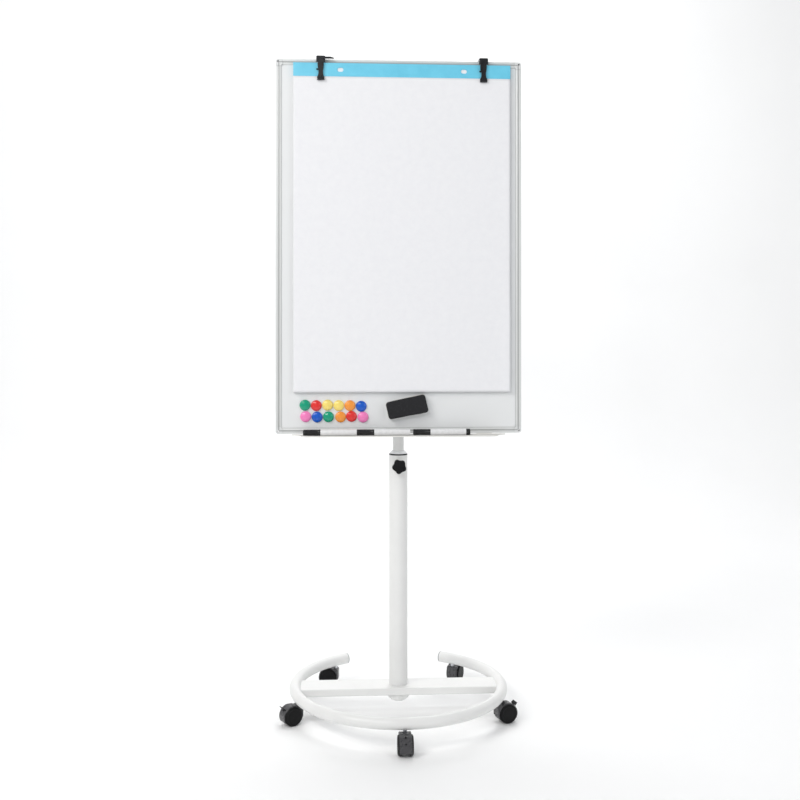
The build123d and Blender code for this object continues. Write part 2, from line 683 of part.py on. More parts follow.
with BuildPart() as pen_tray:
    with BuildSketch(Plane.XY.offset(TRAY_FLOOR_TOP - TRAY_FLOOR)):
        with BuildLine():
            draw_tray_edge(0)
            mirror(about=Plane.YZ)
        make_face()
    extrude(amount=TRAY_FLOOR)
    with BuildSketch(Plane.XY.offset(TRAY_FLOOR_TOP)):
        with BuildLine():
            draw_tray_edge(0)
            mirror(about=Plane.YZ)
        make_face()
        with BuildLine():
            draw_tray_edge(TRAY_LIP_THICKNESS)
            mirror(about=Plane.YZ)
        make_face(mode=Mode.SUBTRACT)
    extrude(amount=TRAY_LIP)
    # Tabs under the bottom frame member
    with BuildSketch(Plane.XY.offset(TRAY_FLOOR_TOP - TRAY_FLOOR)):
        tab_depth = TRAY_TAB_BACK - TRAY_BACK
        with GridLocations(TRAY_TAB_PITCH, 0, TRAY_TABS, 1):
            with Locations((0, TRAY_BACK + tab_depth / 2)):
                Rectangle(TRAY_TAB_WIDTH, tab_depth)
                Circle(SCREW_RADIUS + FIT, mode=Mode.SUBTRACT)
    extrude(amount=BOARD_BOTTOM - TRAY_FLOOR_TOP + TRAY_FLOOR)
export_piece(pen_tray, "pen_tray")

tab_thickness = BOARD_BOTTOM - TRAY_FLOOR_TOP + TRAY_FLOOR
with BuildPart() as tray_screws:
    tab_underside = (0, TRAY_BACK + tab_depth / 2, BOARD_BOTTOM - tab_thickness)
    with Locations(Plane(origin=tab_underside, z_dir=(0, 0, -1))):
        with GridLocations(TRAY_TAB_PITCH, 0, TRAY_TABS, 1):
            add(pan_screw)
export_piece(tray_screws, "tray_screws")

# ---------------------------------------------------------------- paper pad
with BuildPart() as pad_band:
    with BuildSketch(Plane.XZ.offset(-PAD_BACK)):
        with Locations((PAD_SHIFT, PAD_TOP - BAND_HEIGHT / 2)):
            Rectangle(PAD_WIDTH, BAND_HEIGHT)
            with GridLocations(PUNCH_SPACING, 1, 2, 1):
                SlotOverall(PUNCH_LENGTH, PUNCH_WIDTH, mode=Mode.SUBTRACT)
    extrude(amount=BAND_THICKNESS)
export_piece(pad_band, "pad_band")

sheet_top = PAD_TOP - BAND_HEIGHT
with BuildPart() as pad_sheets:
    with BuildSketch(Plane.XZ.offset(-PAD_BACK)):
        with Locations((PAD_SHIFT, (sheet_top + PAD_BOTTOM) / 2)):
            Rectangle(PAD_WIDTH, sheet_top - PAD_BOTTOM)
    extrude(amount=PAD_THICKNESS)
export_piece(pad_sheets, "pad_sheets")

# The top page bends along a line just under the clips.
with BuildPart() as pad_top_sheet:
    with BuildSketch(Plane.XZ.offset(PAD_THICKNESS + GAP - PAD_BACK)):
        with Locations((PAD_SHIFT, (PAGE_TOP + PAD_BOTTOM) / 2)):
            Rectangle(PAD_WIDTH, PAGE_TOP - PAD_BOTTOM)
    extrude(amount=PAGE_THICKNESS)
export_piece(pad_top_sheet, "pad_top_sheet")

# ---------------------------------------------------------------- pad clips
arm_back = PAD_BACK - BAND_THICKNESS - 2 * GAP
arm_front = arm_back - CLIP_ARM_THICKNESS
hook_front = board_back + GAP
lever_back = arm_front - GAP
saddle_bottom = board_top + GAP

# Clip drawn about X = 0, with its arm in front of the pad and its hook behind the frame
with BuildPart() as clip:
    with BuildSketch(Plane.XZ.offset(-arm_back)) as arm_outline:
        neck_height = CLIP_TOP - CLIP_SADDLE_HEIGHT
        with Locations((0, (neck_height + CLIP_TOP) / 2)):
            Rectangle(2 * CLIP_SADDLE_HALF, CLIP_SADDLE_HEIGHT)
        fillet(arm_outline.vertices().group_by(Axis.Y)[-1], CLIP_CORNER)
        with BuildLine():
            foot_top = (CLIP_FOOT_HALF, CLIP_ARM_BOTTOM + CLIP_FOOT_HEIGHT)
            arm_side = Spline(
                (CLIP_NECK_HALF, neck_height),
                (CLIP_BULGE_HALF, CLIP_BULGE_HEIGHT),
                (CLIP_WAIST_HALF, CLIP_WAIST_HEIGHT),
                foot_top,
            )
            Polyline(foot_top, (CLIP_FOOT_HALF, CLIP_ARM_BOTTOM), (0, CLIP_ARM_BOTTOM))
            Line((0, neck_height), arm_side @ 0)
            mirror(about=Plane.YZ)
        make_face()
    extrude(amount=CLIP_ARM_THICKNESS)
    # Raised lip across the foot, sloped at its top
    with BuildSketch(Plane.YZ):
        with BuildLine():
            lip_top = CLIP_ARM_BOTTOM + CLIP_LIP_HEIGHT
            Polyline(
                (arm_front, CLIP_ARM_BOTTOM),
                (arm_front - CLIP_FOOT_LIP, CLIP_ARM_BOTTOM),
                (arm_front - CLIP_FOOT_LIP, lip_top - CLIP_FOOT_LIP),
                (arm_front, lip_top),
                close=True,
            )
        make_face()
    extrude(amount=CLIP_FOOT_HALF, both=True)
    # Saddle over the top frame member, and the hook behind it
    saddle_depth = hook_front + CLIP_HOOK_THICKNESS - arm_back
    with Locations((0, arm_back, saddle_bottom)):
        Box(
            2 * CLIP_SADDLE_HALF,
            saddle_depth,
            CLIP_TOP - saddle_bottom,
            align=(Align.CENTER, Align.MIN, Align.MIN),
        )
    with Locations((0, hook_front, CLIP_TOP)):
        Box(
            2 * CLIP_SADDLE_HALF,
            CLIP_HOOK_THICKNESS,
            CLIP_HOOK_DROP,
            align=(Align.CENTER, Align.MIN, Align.MAX),
        )
    # Finger peg at the left of the waist
    with BuildSketch(Plane.YZ.offset(-PEG_REACH)):
        with Locations(((arm_back + arm_front) / 2, PEG_HEIGHT)):
            Circle(PEG_RADIUS)
    extrude(amount=PEG_REACH)

# Clamp lever drawn about its pivot, with the pin behind it and a tapered bar along +X
with BuildPart() as clip_lever:
    with BuildSketch():
        Circle(LEVER_BOSS_RADIUS)
        with BuildLine():
            half_bar = LEVER_WIDTH / 2
            Polyline(
                (0, half_bar),
                (LEVER_LENGTH * 2 / 3, half_bar),
                (LEVER_LENGTH, -LEVER_TIP_DROP),
                (LEVER_LENGTH - LEVER_TIP_DROP, -half_bar),
                (0, -half_bar),
                close=True,
            )
        make_face()
    extrude(amount=LEVER_THICKNESS)
    with BuildSketch():
        Circle(LEVER_PIN_RADIUS)
    extrude(amount=-LEVER_PIN_DEPTH)

# The left lever lies along the frame, and the right one hangs down over its arm.
clips = {
    "left": (CLIP_LEFT_X, LEVER_PIVOT_X, (1, 0, 0)),
    "right": (CLIP_RIGHT_X, -LEVER_PIVOT_X, (0, 0, -1)),
}
for side, (clip_x, pivot_x, bar_direction) in clips.items():
    pivot = (clip_x + pivot_x, lever_back, LEVER_PIVOT_HEIGHT)
    with BuildPart() as placed_clip:
        with Locations((clip_x, 0, 0)):
            add(clip)
        with BuildSketch(Plane(origin=pivot, x_dir=(1, 0, 0), z_dir=(0, 1, 0))):
            Circle(LEVER_PIN_RADIUS + FIT)
        extrude(amount=LEVER_PIN_DEPTH + GAP, mode=Mode.SUBTRACT)
    export_piece(placed_clip, f"clip_{side}")
    with BuildPart() as placed_lever:
        with Locations(Plane(origin=pivot, x_dir=bar_direction, z_dir=(0, -1, 0))):
            add(clip_lever)
    export_piece(placed_lever, f"clip_lever_{side}")

# ---------------------------------------------------------------- magnets and eraser
steel_face = laminate_front - FIT
magnet_dome_rise = MAGNET_HEIGHT - MAGNET_RIM
magnet_dome_radius = (MAGNET_RADIUS**2 + magnet_dome_rise**2) / (2 * magnet_dome_rise)
with BuildPart() as magnet:
    with BuildSketch():
        Circle(MAGNET_RADIUS)
    extrude(amount=MAGNET_HEIGHT)
    with Locations((0, 0, MAGNET_HEIGHT - magnet_dome_radius)):
        Sphere(magnet_dome_radius, mode=Mode.INTERSECT)

magnet_middle_x = MAGNET_FIRST_X + MAGNET_PITCH * (MAGNETS_IN_ROW - 1) / 2
magnet_plane = Plane(
    origin=(magnet_middle_x, steel_face, MAGNET_ROW_HEIGHT), x_dir=(1, 0, 0), z_dir=(0, -1, 0)
)
with BuildPart() as magnets:
    with Locations(magnet_plane):
        with GridLocations(MAGNET_PITCH, MAGNET_ROW_SPACING, MAGNETS_IN_ROW, 2):
            add(magnet)
export_piece(magnets, "magnets")

with BuildPart() as eraser:
    with BuildSketch(Plane.XZ.offset(GAP / 2 - steel_face)):
        with Locations((ERASER_X, ERASER_HEIGHT)):
            Rectangle(ERASER_LENGTH, ERASER_WIDTH, rotation=ERASER_TURN)
    extrude(amount=ERASER_THICKNESS)
    fillet(eraser.edges(), ERASER_ROUNDING)
export_piece(eraser, "eraser")

# ---------------------------------------------------------------- markers
marker_axis_height = TRAY_FLOOR_TOP + MARKER_BODY_RADIUS + FIT
for side, cap_end_x in MARKER_STARTS.items():
    plug_length = MARKER_PLUG if side == "right" else 0
    with BuildPart() as marker:
        cap_end = (cap_end_x, MARKER_Y, marker_axis_height)
        with BuildSketch(Plane(origin=cap_end, x_dir=(1, 0, 0), z_dir=(0, -1, 0))):
            with BuildLine():
                Polyline(
                    (0, 0),
                    (0, MARKER_CAP_RADIUS - MARKER_CHAMFER),
                    (MARKER_CHAMFER, MARKER_CAP_RADIUS),
                    (MARKER_CAP, MARKER_CAP_RADIUS),
                    (MARKER_CAP, MARKER_BODY_RADIUS),
                    (MARKER_LENGTH + plug_length - MARKER_CHAMFER, MARKER_BODY_RADIUS),
                    (MARKER_LENGTH + plug_length, MARKER_BODY_RADIUS - MARKER_CHAMFER),
                    (MARKER_LENGTH + plug_length, 0),
                    close=True,
                )
            make_face()
        revolve(axis=Axis(origin=cap_end, direction=(1, 0, 0)))
    export_piece(marker, f"marker_{side}")

# ---------------------------------------------------------------- casters
# A caster is drawn with its swivel axis on Z and its wheels trailing along +X.
with BuildPart() as caster_stem:
    with BuildSketch(Plane.XY.offset(CASTER_HEIGHT)):
        Circle(STEM_THREAD_RADIUS)
    extrude(amount=STEM_THREAD)
    with BuildSketch(Plane.XY.offset(CASTER_HEIGHT)):
        Circle(STEM_COLLAR_RADIUS)
    extrude(amount=HOOD_NOSE_TOP + GAP - CASTER_HEIGHT)
    with BuildSketch(Plane.XY.offset(HOOD_NOSE_TOP + GAP)):
        Circle(STEM_RADIUS)
    extrude(amount=-STEM_DEPTH)

with BuildPart() as caster_stems:
    with Locations(*[polar(RING_RADIUS, place) for place, _ in CASTERS.values()]):
        add(caster_stem)
export_piece(caster_stems, "caster_stems")

axle_point = (CASTER_TRAIL, WHEEL_RADIUS)
with BuildPart() as hood:
    with BuildSketch(Plane.XZ):
        with Locations(axle_point):
            Circle(HOOD_RADIUS)
        with BuildLine():
            Polyline(
                (-HOOD_NOSE, HOOD_NOSE_BOTTOM),
                (-HOOD_NOSE, HOOD_NOSE_TOP - HOOD_NOSE_CORNER),
                (HOOD_NOSE_CORNER - HOOD_NOSE, HOOD_NOSE_TOP),
                (CASTER_TRAIL, HOOD_NOSE_TOP),
                (CASTER_TRAIL, HOOD_NOSE_BOTTOM),
                close=True,
            )
        make_face()
        with Locations((CASTER_TRAIL, 0)):
            Rectangle(3 * HOOD_RADIUS, 2 * HOOD_SKIRT, mode=Mode.SUBTRACT)
    extrude(amount=HOOD_WIDTH / 2, both=True)
    side_faces = hood.faces().filter_by(Axis.Y)
    chamfer(side_faces.edges(), HOOD_EDGE)
    # Rounded shoulders along the top
    with BuildSketch(Plane.YZ.offset(-2 * HOOD_RADIUS)):
        RectangleRounded(HOOD_WIDTH, 2 * HOOD_TOP, HOOD_SHOULDER)
    extrude(amount=4 * HOOD_RADIUS, mode=Mode.INTERSECT)
    for side in (-1, 1):
        with BuildSketch(Plane.XZ.offset(side * WEB_HALF)):
            with Locations(axle_point):
                Circle(WELL_RADIUS)
        extrude(amount=side * HOOD_WIDTH, mode=Mode.SUBTRACT)
    with BuildSketch(Plane.XZ):
        with Locations(axle_point):
            Circle(AXLE_RADIUS + FIT)
    extrude(amount=HOOD_WIDTH, both=True, mode=Mode.SUBTRACT)
    with BuildSketch(Plane.XY.offset(HOOD_NOSE_TOP)):
        Circle(STEM_RADIUS + FIT)
    extrude(amount=-STEM_DEPTH - 1, mode=Mode.SUBTRACT)

with BuildPart() as plain_hood:
    add(hood)
    for hole_height in HOOD_HOLE_HEIGHTS:
        rise = hole_height - WHEEL_RADIUS
        face_x = CASTER_TRAIL + (HOOD_RADIUS**2 - rise**2) ** 0.5
        with BuildSketch(Plane.YZ.offset(face_x - HOOD_HOLE_DEPTH)):
            with Locations((0, hole_height)):
                Circle(HOOD_HOLE_RADIUS)
        extrude(amount=2 * HOOD_HOLE_DEPTH, mode=Mode.SUBTRACT)

# The brake pedal turns on a pin in the web of the hood, and leans out at an angle.
brake_direction = (cos(radians(BRAKE_ANGLE)), 0, sin(radians(BRAKE_ANGLE)))
brake_plane = Plane(
    origin=(
        CASTER_TRAIL + BRAKE_PIVOT_RADIUS * brake_direction[0],
        0,
        WHEEL_RADIUS + BRAKE_PIVOT_RADIUS * brake_direction[2],
    ),
    x_dir=brake_direction,
    z_dir=(0, -1, 0),
)
with BuildPart() as braked_hood:
    add(hood)
    with BuildSketch(brake_plane):
        Circle(BRAKE_BARREL_RADIUS + 2 * GAP)
        with Locations((BRAKE_PEDAL_START, BRAKE_THICKNESS / 2 + GAP)):
            Rectangle(
                2 * BRAKE_PEDAL_START,
                BRAKE_THICKNESS / 2 + GAP + BRAKE_SWING_ROOM,
                align=(Align.CENTER, Align.MAX),
            )
    extrude(amount=BRAKE_NECK_HALF + GAP, both=True, mode=Mode.SUBTRACT)
    with BuildSketch(brake_plane):
        Circle(BRAKE_PIN_RADIUS + FIT)
    extrude(amount=BRAKE_PIN_HALF + GAP, both=True, mode=Mode.SUBTRACT)

with BuildPart() as brake:
    with BuildSketch(brake_plane):
        Circle(BRAKE_BARREL_RADIUS)
        with Locations(((BRAKE_PEDAL_START + BRAKE_NECK_OVERLAP) / 2, 0)):
            Rectangle(BRAKE_PEDAL_START + BRAKE_NECK_OVERLAP, BRAKE_THICKNESS)
    extrude(amount=BRAKE_NECK_HALF, both=True)
    with BuildSketch(brake_plane):
        with BuildLine():
            Polyline(
                (BRAKE_PEDAL_START, -BRAKE_THICKNESS / 2),
                (BRAKE_PEDAL_START, BRAKE_THICKNESS / 2),
                (BRAKE_PEDAL_END, BRAKE_THICKNESS / 2),
                (BRAKE_PEDAL_END, 0),
                close=True,
            )
        make_face()
    extrude(amount=BRAKE_PEDAL_HALF, both=True)
    with BuildSketch(brake_plane):
        Circle(BRAKE_PIN_RADIUS)
    extrude(amount=BRAKE_PIN_HALF, both=True)

# Twin wheels: hollow towards the hood, closed and rounded on the outside
with BuildPart() as wheels:
    with BuildSketch(Plane(origin=(CASTER_TRAIL, 0, WHEEL_RADIUS), x_dir=(1, 0, 0), z_dir=(0, 0, 1))):
        with BuildLine():
            hub_radius = 2 * AXLE_RADIUS
            web_face = WHEEL_OUTER_FACE - WHEEL_WEB
            rim_inside = WHEEL_RADIUS - WHEEL_RIM_WALL
            tread_end = (WHEEL_RADIUS, WHEEL_OUTER_FACE - WHEEL_ROUND)
            face_edge = (WHEEL_RADIUS - WHEEL_SHOULDER, WHEEL_OUTER_FACE)
            rim_edge = WHEEL_RADIUS - WHEEL_SHOULDER - WHEEL_FACE_RIM
            arc_middle = (WHEEL_RADIUS - TREAD_ARC_DROP[0], WHEEL_OUTER_FACE - TREAD_ARC_DROP[1])
            disc_face = WHEEL_OUTER_FACE - WHEEL_RECESS
            Polyline(
                face_edge,
                (rim_edge, WHEEL_OUTER_FACE),
                (rim_edge - WHEEL_RIM_SLOPE, disc_face),
                (0, disc_face),
                (0, AXLE_HALF_LENGTH + GAP),
                (AXLE_RADIUS + FIT, AXLE_HALF_LENGTH + GAP),
                (AXLE_RADIUS + FIT, WHEEL_INNER_FACE),
                (hub_radius, WHEEL_INNER_FACE),
                (hub_radius, web_face),
                (rim_inside, web_face),
                (rim_inside, WHEEL_INNER_FACE),
                (WHEEL_RADIUS, WHEEL_INNER_FACE),
                tread_end,
            )
            ThreePointArc(tread_end, arc_middle, face_edge)
        make_face()
    revolve(axis=Axis(origin=(CASTER_TRAIL, 0, WHEEL_RADIUS), direction=(0, 1, 0)))
    mirror(about=Plane.XZ)

with BuildPart() as axle:
    with BuildSketch(Plane.XZ):
        with Locations(axle_point):
            Circle(AXLE_RADIUS)
    extrude(amount=AXLE_HALF_LENGTH, both=True)

for name, (place, heading) in CASTERS.items():
    pieces = {"hood": braked_hood, "wheels": wheels, "axle": axle, "brake": brake}
    if name not in BRAKED:
        pieces["hood"] = plain_hood
        del pieces["brake"]
    caster_plane = Plane(origin=polar(RING_RADIUS, place), x_dir=polar(1, heading), z_dir=(0, 0, 1))
    for piece_name, drawn_piece in pieces.items():
        with BuildPart() as placed_piece:
            with Locations(caster_plane):
                add(drawn_piece)
        export_piece(placed_piece, f"caster_{piece_name}_{name}")
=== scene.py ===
import json
import math

import bmesh
import bpy
from mathutils import Matrix, Vector, noise


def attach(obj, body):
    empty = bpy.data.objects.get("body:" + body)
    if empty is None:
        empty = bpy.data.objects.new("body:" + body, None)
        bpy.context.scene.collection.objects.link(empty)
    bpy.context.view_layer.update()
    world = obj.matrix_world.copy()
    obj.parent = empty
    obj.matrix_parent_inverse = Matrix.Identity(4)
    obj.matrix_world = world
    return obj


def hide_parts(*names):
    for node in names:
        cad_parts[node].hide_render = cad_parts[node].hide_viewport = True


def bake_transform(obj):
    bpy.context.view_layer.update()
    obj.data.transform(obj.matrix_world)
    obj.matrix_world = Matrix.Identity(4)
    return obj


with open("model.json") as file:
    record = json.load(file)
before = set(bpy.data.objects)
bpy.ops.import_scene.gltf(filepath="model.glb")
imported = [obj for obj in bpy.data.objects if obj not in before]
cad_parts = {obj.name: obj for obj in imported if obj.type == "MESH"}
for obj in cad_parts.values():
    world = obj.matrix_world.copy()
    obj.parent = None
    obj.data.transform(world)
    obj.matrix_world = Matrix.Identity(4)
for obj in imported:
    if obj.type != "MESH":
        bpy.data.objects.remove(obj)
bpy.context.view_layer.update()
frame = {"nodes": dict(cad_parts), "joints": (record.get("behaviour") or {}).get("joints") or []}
nodes = frame["nodes"]
scene = bpy.context.scene
scene.view_settings.view_transform = "Standard"


# ------------------------------------------------------------------ material building
class Surface:
    """A Principled material that grows by noise, edge wear and bump layers, all in object space."""

    def __init__(self, name, roughness, metallic=0.0, **sockets):
        self.material = bpy.data.materials.new(name)
        self.material.use_nodes = True
        self.tree = self.material.node_tree
        self.shader = self.tree.nodes["Principled BSDF"]
        self.shader.inputs["Metallic"].default_value = metallic
        self.shader.inputs["Roughness"].default_value = roughness
        for socket, value in sockets.items():
            self.shader.inputs[socket.replace("_", " ")].default_value = value
        self.place = self.add("ShaderNodeTexCoord").outputs["Object"]
        self.normal = None

    def add(self, kind, **settings):
        node = self.tree.nodes.new(kind)
        for key, value in settings.items():
            setattr(node, key, value)
        return node

    def link(self, source, target):
        self.tree.links.new(source, target)

    def noise(self, scale, detail=3.0, roughness=0.55, stretch=(1, 1, 1), distortion=0.0):
        """Noise factor, with its own stretch along each axis."""
        mapping = self.add("ShaderNodeMapping")
        mapping.inputs["Scale"].default_value = stretch
        self.link(self.place, mapping.inputs["Vector"])
        texture = self.add("ShaderNodeTexNoise")
        texture.inputs["Scale"].default_value = scale
        texture.inputs["Detail"].default_value = detail
        texture.inputs["Roughness"].default_value = roughness
        texture.inputs["Distortion"].default_value = distortion
        self.link(mapping.outputs["Vector"], texture.inputs["Vector"])
        return texture.outputs["Fac"]

    def ramp(self, factor, low, high, start=0.0, end=1.0):
        """Factor remapped from low..high to start..end, clamped."""
        node = self.add("ShaderNodeMapRange", clamp=True)
        for name, value in (("From Min", low), ("From Max", high), ("To Min", start), ("To Max", end)):
            node.inputs[name].default_value = value
        self.link(factor, node.inputs["Value"])
        return node.outputs["Result"]

    def math(self, operation, a, b):
        node = self.add("ShaderNodeMath", operation=operation)
        for slot, value in enumerate((a, b)):
            if isinstance(value, (int, float)):
                node.inputs[slot].default_value = value
            else:
                self.link(value, node.inputs[slot])
        return node.outputs[0]

    def mix(self, factor, a, b):
        """Colour mix; a and b are colours or sockets."""
        node = self.add("ShaderNodeMix", data_type="RGBA")
        self.link(factor, node.inputs["Factor"])
        for name, value in (("A", a), ("B", b)):
            socket = next(s for s in node.inputs if s.name == name and s.type == "RGBA")
            if isinstance(value, tuple):
                socket.default_value = (*value, 1)
            else:
                self.link(value, socket)
        return next(s for s in node.outputs if s.type == "RGBA")

    def colour(self, value):
        self.link(value, self.shader.inputs["Base Color"])

    def rough(self, value):
        self.link(value, self.shader.inputs["Roughness"])

    def round_edges(self, radius):
        """Shading normal of softly rounded edges, and a mask that is 1 on sharp edges."""
        bevel = self.add("ShaderNodeBevel", samples=6)
        bevel.inputs["Radius"].default_value = radius
        true = self.add("ShaderNodeNewGeometry").outputs["Normal"]
        dot = self.add("ShaderNodeVectorMath", operation="DOT_PRODUCT")
        self.link(bevel.outputs["Normal"], dot.inputs[0])
        self.link(true, dot.inputs[1])
        self.normal = bevel.outputs["Normal"]
        return self.ramp(dot.outputs["Value"], 0.97, 0.8)

    def bump(self, height, distance, strength=1.0):
        node = self.add("ShaderNodeBump")
        node.inputs["Distance"].default_value = distance
        node.inputs["Strength"].default_value = strength
        self.link(height, node.inputs["Height"])
        if self.normal:
            self.link(self.normal, node.inputs["Normal"])
        self.normal = node.outputs["Normal"]

    def done(self):
        if self.normal:
            self.link(self.normal, self.shader.inputs["Normal"])
        return self.material


def shade(colour, factor):
    """Colour made lighter or darker, and never over 1."""
    return tuple(min(1.0, channel * factor) for channel in colour)


def coated_steel(name, colour, roughness=0.36, edge=0.0012, spread=0.03):
    """Powder coat: orange peel, faint clouding, scuffs, and edges where the coat thins."""
    s = Surface(name, roughness, Coat_Weight=0.12, Coat_Roughness=0.25)
    edges = s.round_edges(edge)
    cloud = s.ramp(s.noise(9, 4), 0.35, 0.65)
    base = s.mix(cloud, shade(colour, 1 - spread), shade(colour, 1 + spread / 2))
    scuff = s.ramp(s.noise(140, 5, 0.7, (1, 1, 0.35)), 0.66, 0.74)
    base = s.mix(s.math("MULTIPLY", scuff, 0.10), base, (0.42, 0.41, 0.39))
    base = s.mix(s.math("MULTIPLY", edges, 0.22), base, shade(colour, 0.72))
    s.colour(base)
    s.rough(s.ramp(s.noise(60, 4), 0.3, 0.7, roughness - 0.06, roughness + 0.10))
    s.bump(s.noise(420, 2, 0.4), 0.00007)
    s.bump(s.noise(2600, 2), 0.000015)
    return s.done()


def moulded_plastic(
    name, colour, roughness=0.48, edge=0.0006, grain=2200, depth=0.00003, worn=0.25, shine=0.5
):
    """Moulded plastic: fine spark-eroded grain, rubbed lighter along its edges, faint dust."""
    s = Surface(name, roughness, Specular_IOR_Level=shine)
    edges = s.round_edges(edge)
    cloud = s.ramp(s.noise(45, 4), 0.3, 0.7)
    base = s.mix(cloud, shade(colour, 0.85), shade(colour, 1.12))
    pale = tuple(min(1.0, channel + 0.10) for channel in colour)
    base = s.mix(s.math("MULTIPLY", edges, worn), base, pale)
    dust = s.ramp(s.noise(700, 4, 0.7), 0.60, 0.72)
    base = s.mix(s.math("MULTIPLY", dust, 0.03), base, (0.35, 0.34, 0.32))
    s.colour(base)
    s.rough(s.ramp(s.noise(110, 4), 0.3, 0.7, roughness - 0.08, roughness + 0.10))
    s.bump(s.noise(grain, 3, 0.6), depth)
    return s.done()


def metal(name, colour, roughness, scale, depth=0.00002, edge=0.0006, stain=0.12):
    """Bare or plated metal with a fine even grain and dull patches."""
    s = Surface(name, roughness, 1.0)
    edges = s.round_edges(edge)
    grain = s.noise(scale, 4, 0.6)
    base = s.mix(s.ramp(grain, 0.3, 0.7), shade(colour, 0.90), shade(colour, 1.05))
    patches = s.ramp(s.noise(14, 5, 0.65), 0.45, 0.7)
    base = s.mix(s.math("MULTIPLY", patches, stain), base, shade(colour, 0.62))
    base = s.mix(s.math("MULTIPLY", edges, 0.35), base, shade(colour, 1.25))
    s.colour(base)
    s.rough(s.ramp(grain, 0.25, 0.75, roughness - 0.07, roughness + 0.09))
    s.bump(grain, depth)
    return s.done()


FRAME_HALF_WIDTH, FRAME_HALF_HEIGHT, BOARD_CENTRE = 0.330, 0.500, 1.260
# Depths in from the frame's outer edge where a band of painted shade begins, is full, fades and ends.
GROOVE_SHADE_BAND, GROOVE_SHADE_STRENGTH = (0.0062, 0.0070, 0.0094, 0.0106), 0.62
INNER_SHADE_LINE, INNER_SHADE_LINE_STRENGTH = (0.0146, 0.0151, 0.0160, 0.0170), 0.42
BRUSHED_UPRIGHT, BRUSHED_LEVEL, UNBRUSHED = (1, 1, 0.02), (0.02, 1, 1), (1, 1, 1)


def frame_finish(name, colour, metallic, roughness, stretch):
    """Satin profile with painted shade in its groove and along its inner edge, in bands that run on round
    the corners.
    """
    s = Surface(name, roughness, metallic)
    edges = s.round_edges(0.0005)
    lines = s.noise(1400, 4, 0.6, stretch)
    base = s.mix(s.ramp(lines, 0.3, 0.7), shade(colour, 0.96), shade(colour, 1.03))
    split = s.add("ShaderNodeSeparateXYZ")
    s.link(s.place, split.inputs["Vector"])
    across = s.math("ABSOLUTE", split.outputs["X"], 0.0)
    upwards = s.math("ABSOLUTE", s.math("SUBTRACT", split.outputs["Z"], BOARD_CENTRE), 0.0)
    depth = s.math(
        "MINIMUM",
        s.math("SUBTRACT", FRAME_HALF_WIDTH, across),
        s.math("SUBTRACT", FRAME_HALF_HEIGHT, upwards),
    )
    # Painted shade: the groove and the edge where the frame meets the board are darkened where shade falls.
    for shade_band_depths, strength in ((GROOVE_SHADE_BAND, GROOVE_SHADE_STRENGTH), (INNER_SHADE_LINE, INNER_SHADE_LINE_STRENGTH)):
        begin, full, fade, end = shade_band_depths
        rise, fall = s.ramp(depth, begin, full), s.ramp(depth, fade, end, 1.0, 0.0)
        band = s.math("MULTIPLY", s.math("MULTIPLY", rise, fall), strength)
        base = s.mix(band, base, shade(colour, 0.30))
    base = s.mix(s.math("MULTIPLY", edges, 0.25), base, shade(colour, 0.80))
    s.colour(base)
    s.rough(s.ramp(lines, 0.25, 0.75, roughness - 0.05, roughness + 0.09))
    s.bump(lines, 0.00002)
    return s.done()


WHITE = (0.80, 0.80, 0.79)
BLACK = (0.008, 0.008, 0.009)
SILVER = (0.70, 0.71, 0.705)

powder = coated_steel("powder_coat", WHITE)
bracket_grey = coated_steel("bracket_grey", (0.40, 0.41, 0.42), roughness=0.42, edge=0.0006)
tray_white = coated_steel("tray_white", (0.76, 0.75, 0.72), roughness=0.34, edge=0.0008)

zinc = metal("zinc_plate", (0.62, 0.63, 0.66), roughness=0.34, scale=900)
cast_aluminium = metal("cast_aluminium", (0.58, 0.59, 0.60), roughness=0.5, scale=700, depth=0.0001)
galvanised = metal(
    "galvanised", (0.60, 0.61, 0.62), roughness=0.42, scale=60, depth=0.00001, edge=0.0004, stain=0.3
)
frame_upright = frame_finish("frame_upright", SILVER, 0.25, 0.42, BRUSHED_UPRIGHT)
frame_level = frame_finish("frame_level", SILVER, 0.25, 0.42, BRUSHED_LEVEL)
corner_grey = frame_finish("corner_grey", (0.68, 0.69, 0.69), 0.0, 0.40, UNBRUSHED)

cup_white = moulded_plastic("cup_white", WHITE, roughness=0.3, grain=1500, depth=0.00001, worn=0.1)
plug_grey = moulded_plastic("plug_grey", (0.36, 0.36, 0.37))
guide_plastic = moulded_plastic("guide_plastic", (0.7, 0.7, 0.68), roughness=0.5)
fibreboard = moulded_plastic(
    "fibreboard", (0.42, 0.30, 0.19), roughness=0.85, edge=0.0004, grain=600, depth=0.0002
)
knob_black = moulded_plastic(
    "knob_black", BLACK, roughness=0.42, edge=0.0008, grain=1600, depth=0.00004, worn=0.15, shine=0.15
)
collar_black = moulded_plastic(
    "collar_black", (0.010, 0.010, 0.011),
    roughness=0.30, edge=0.0004, grain=1200, depth=0.00001, worn=0.2, shine=0.25,
)
# Painted reflection: the cone's light grey colour stands for the white post mirrored in its glossy black
# surface.
collar_cone_painted_reflection = moulded_plastic(
    "collar_cone_painted_reflection", (0.70, 0.71, 0.72), roughness=0.18, edge=0.0004, grain=1200, depth=0.00001
)
clip_black = moulded_plastic(
    "clip_black", (0.010, 0.011, 0.013), roughness=0.34, grain=2400, worn=0.45, shine=0.32
)
hood_black = moulded_plastic(
    "hood_black", (0.050, 0.049, 0.053), roughness=0.30, edge=0.0008, grain=1500, depth=0.000015
)
pedal_black = moulded_plastic(
    "pedal_black", (0.012, 0.012, 0.013), roughness=0.45, grain=1500, worn=0.1, shine=0.2
)


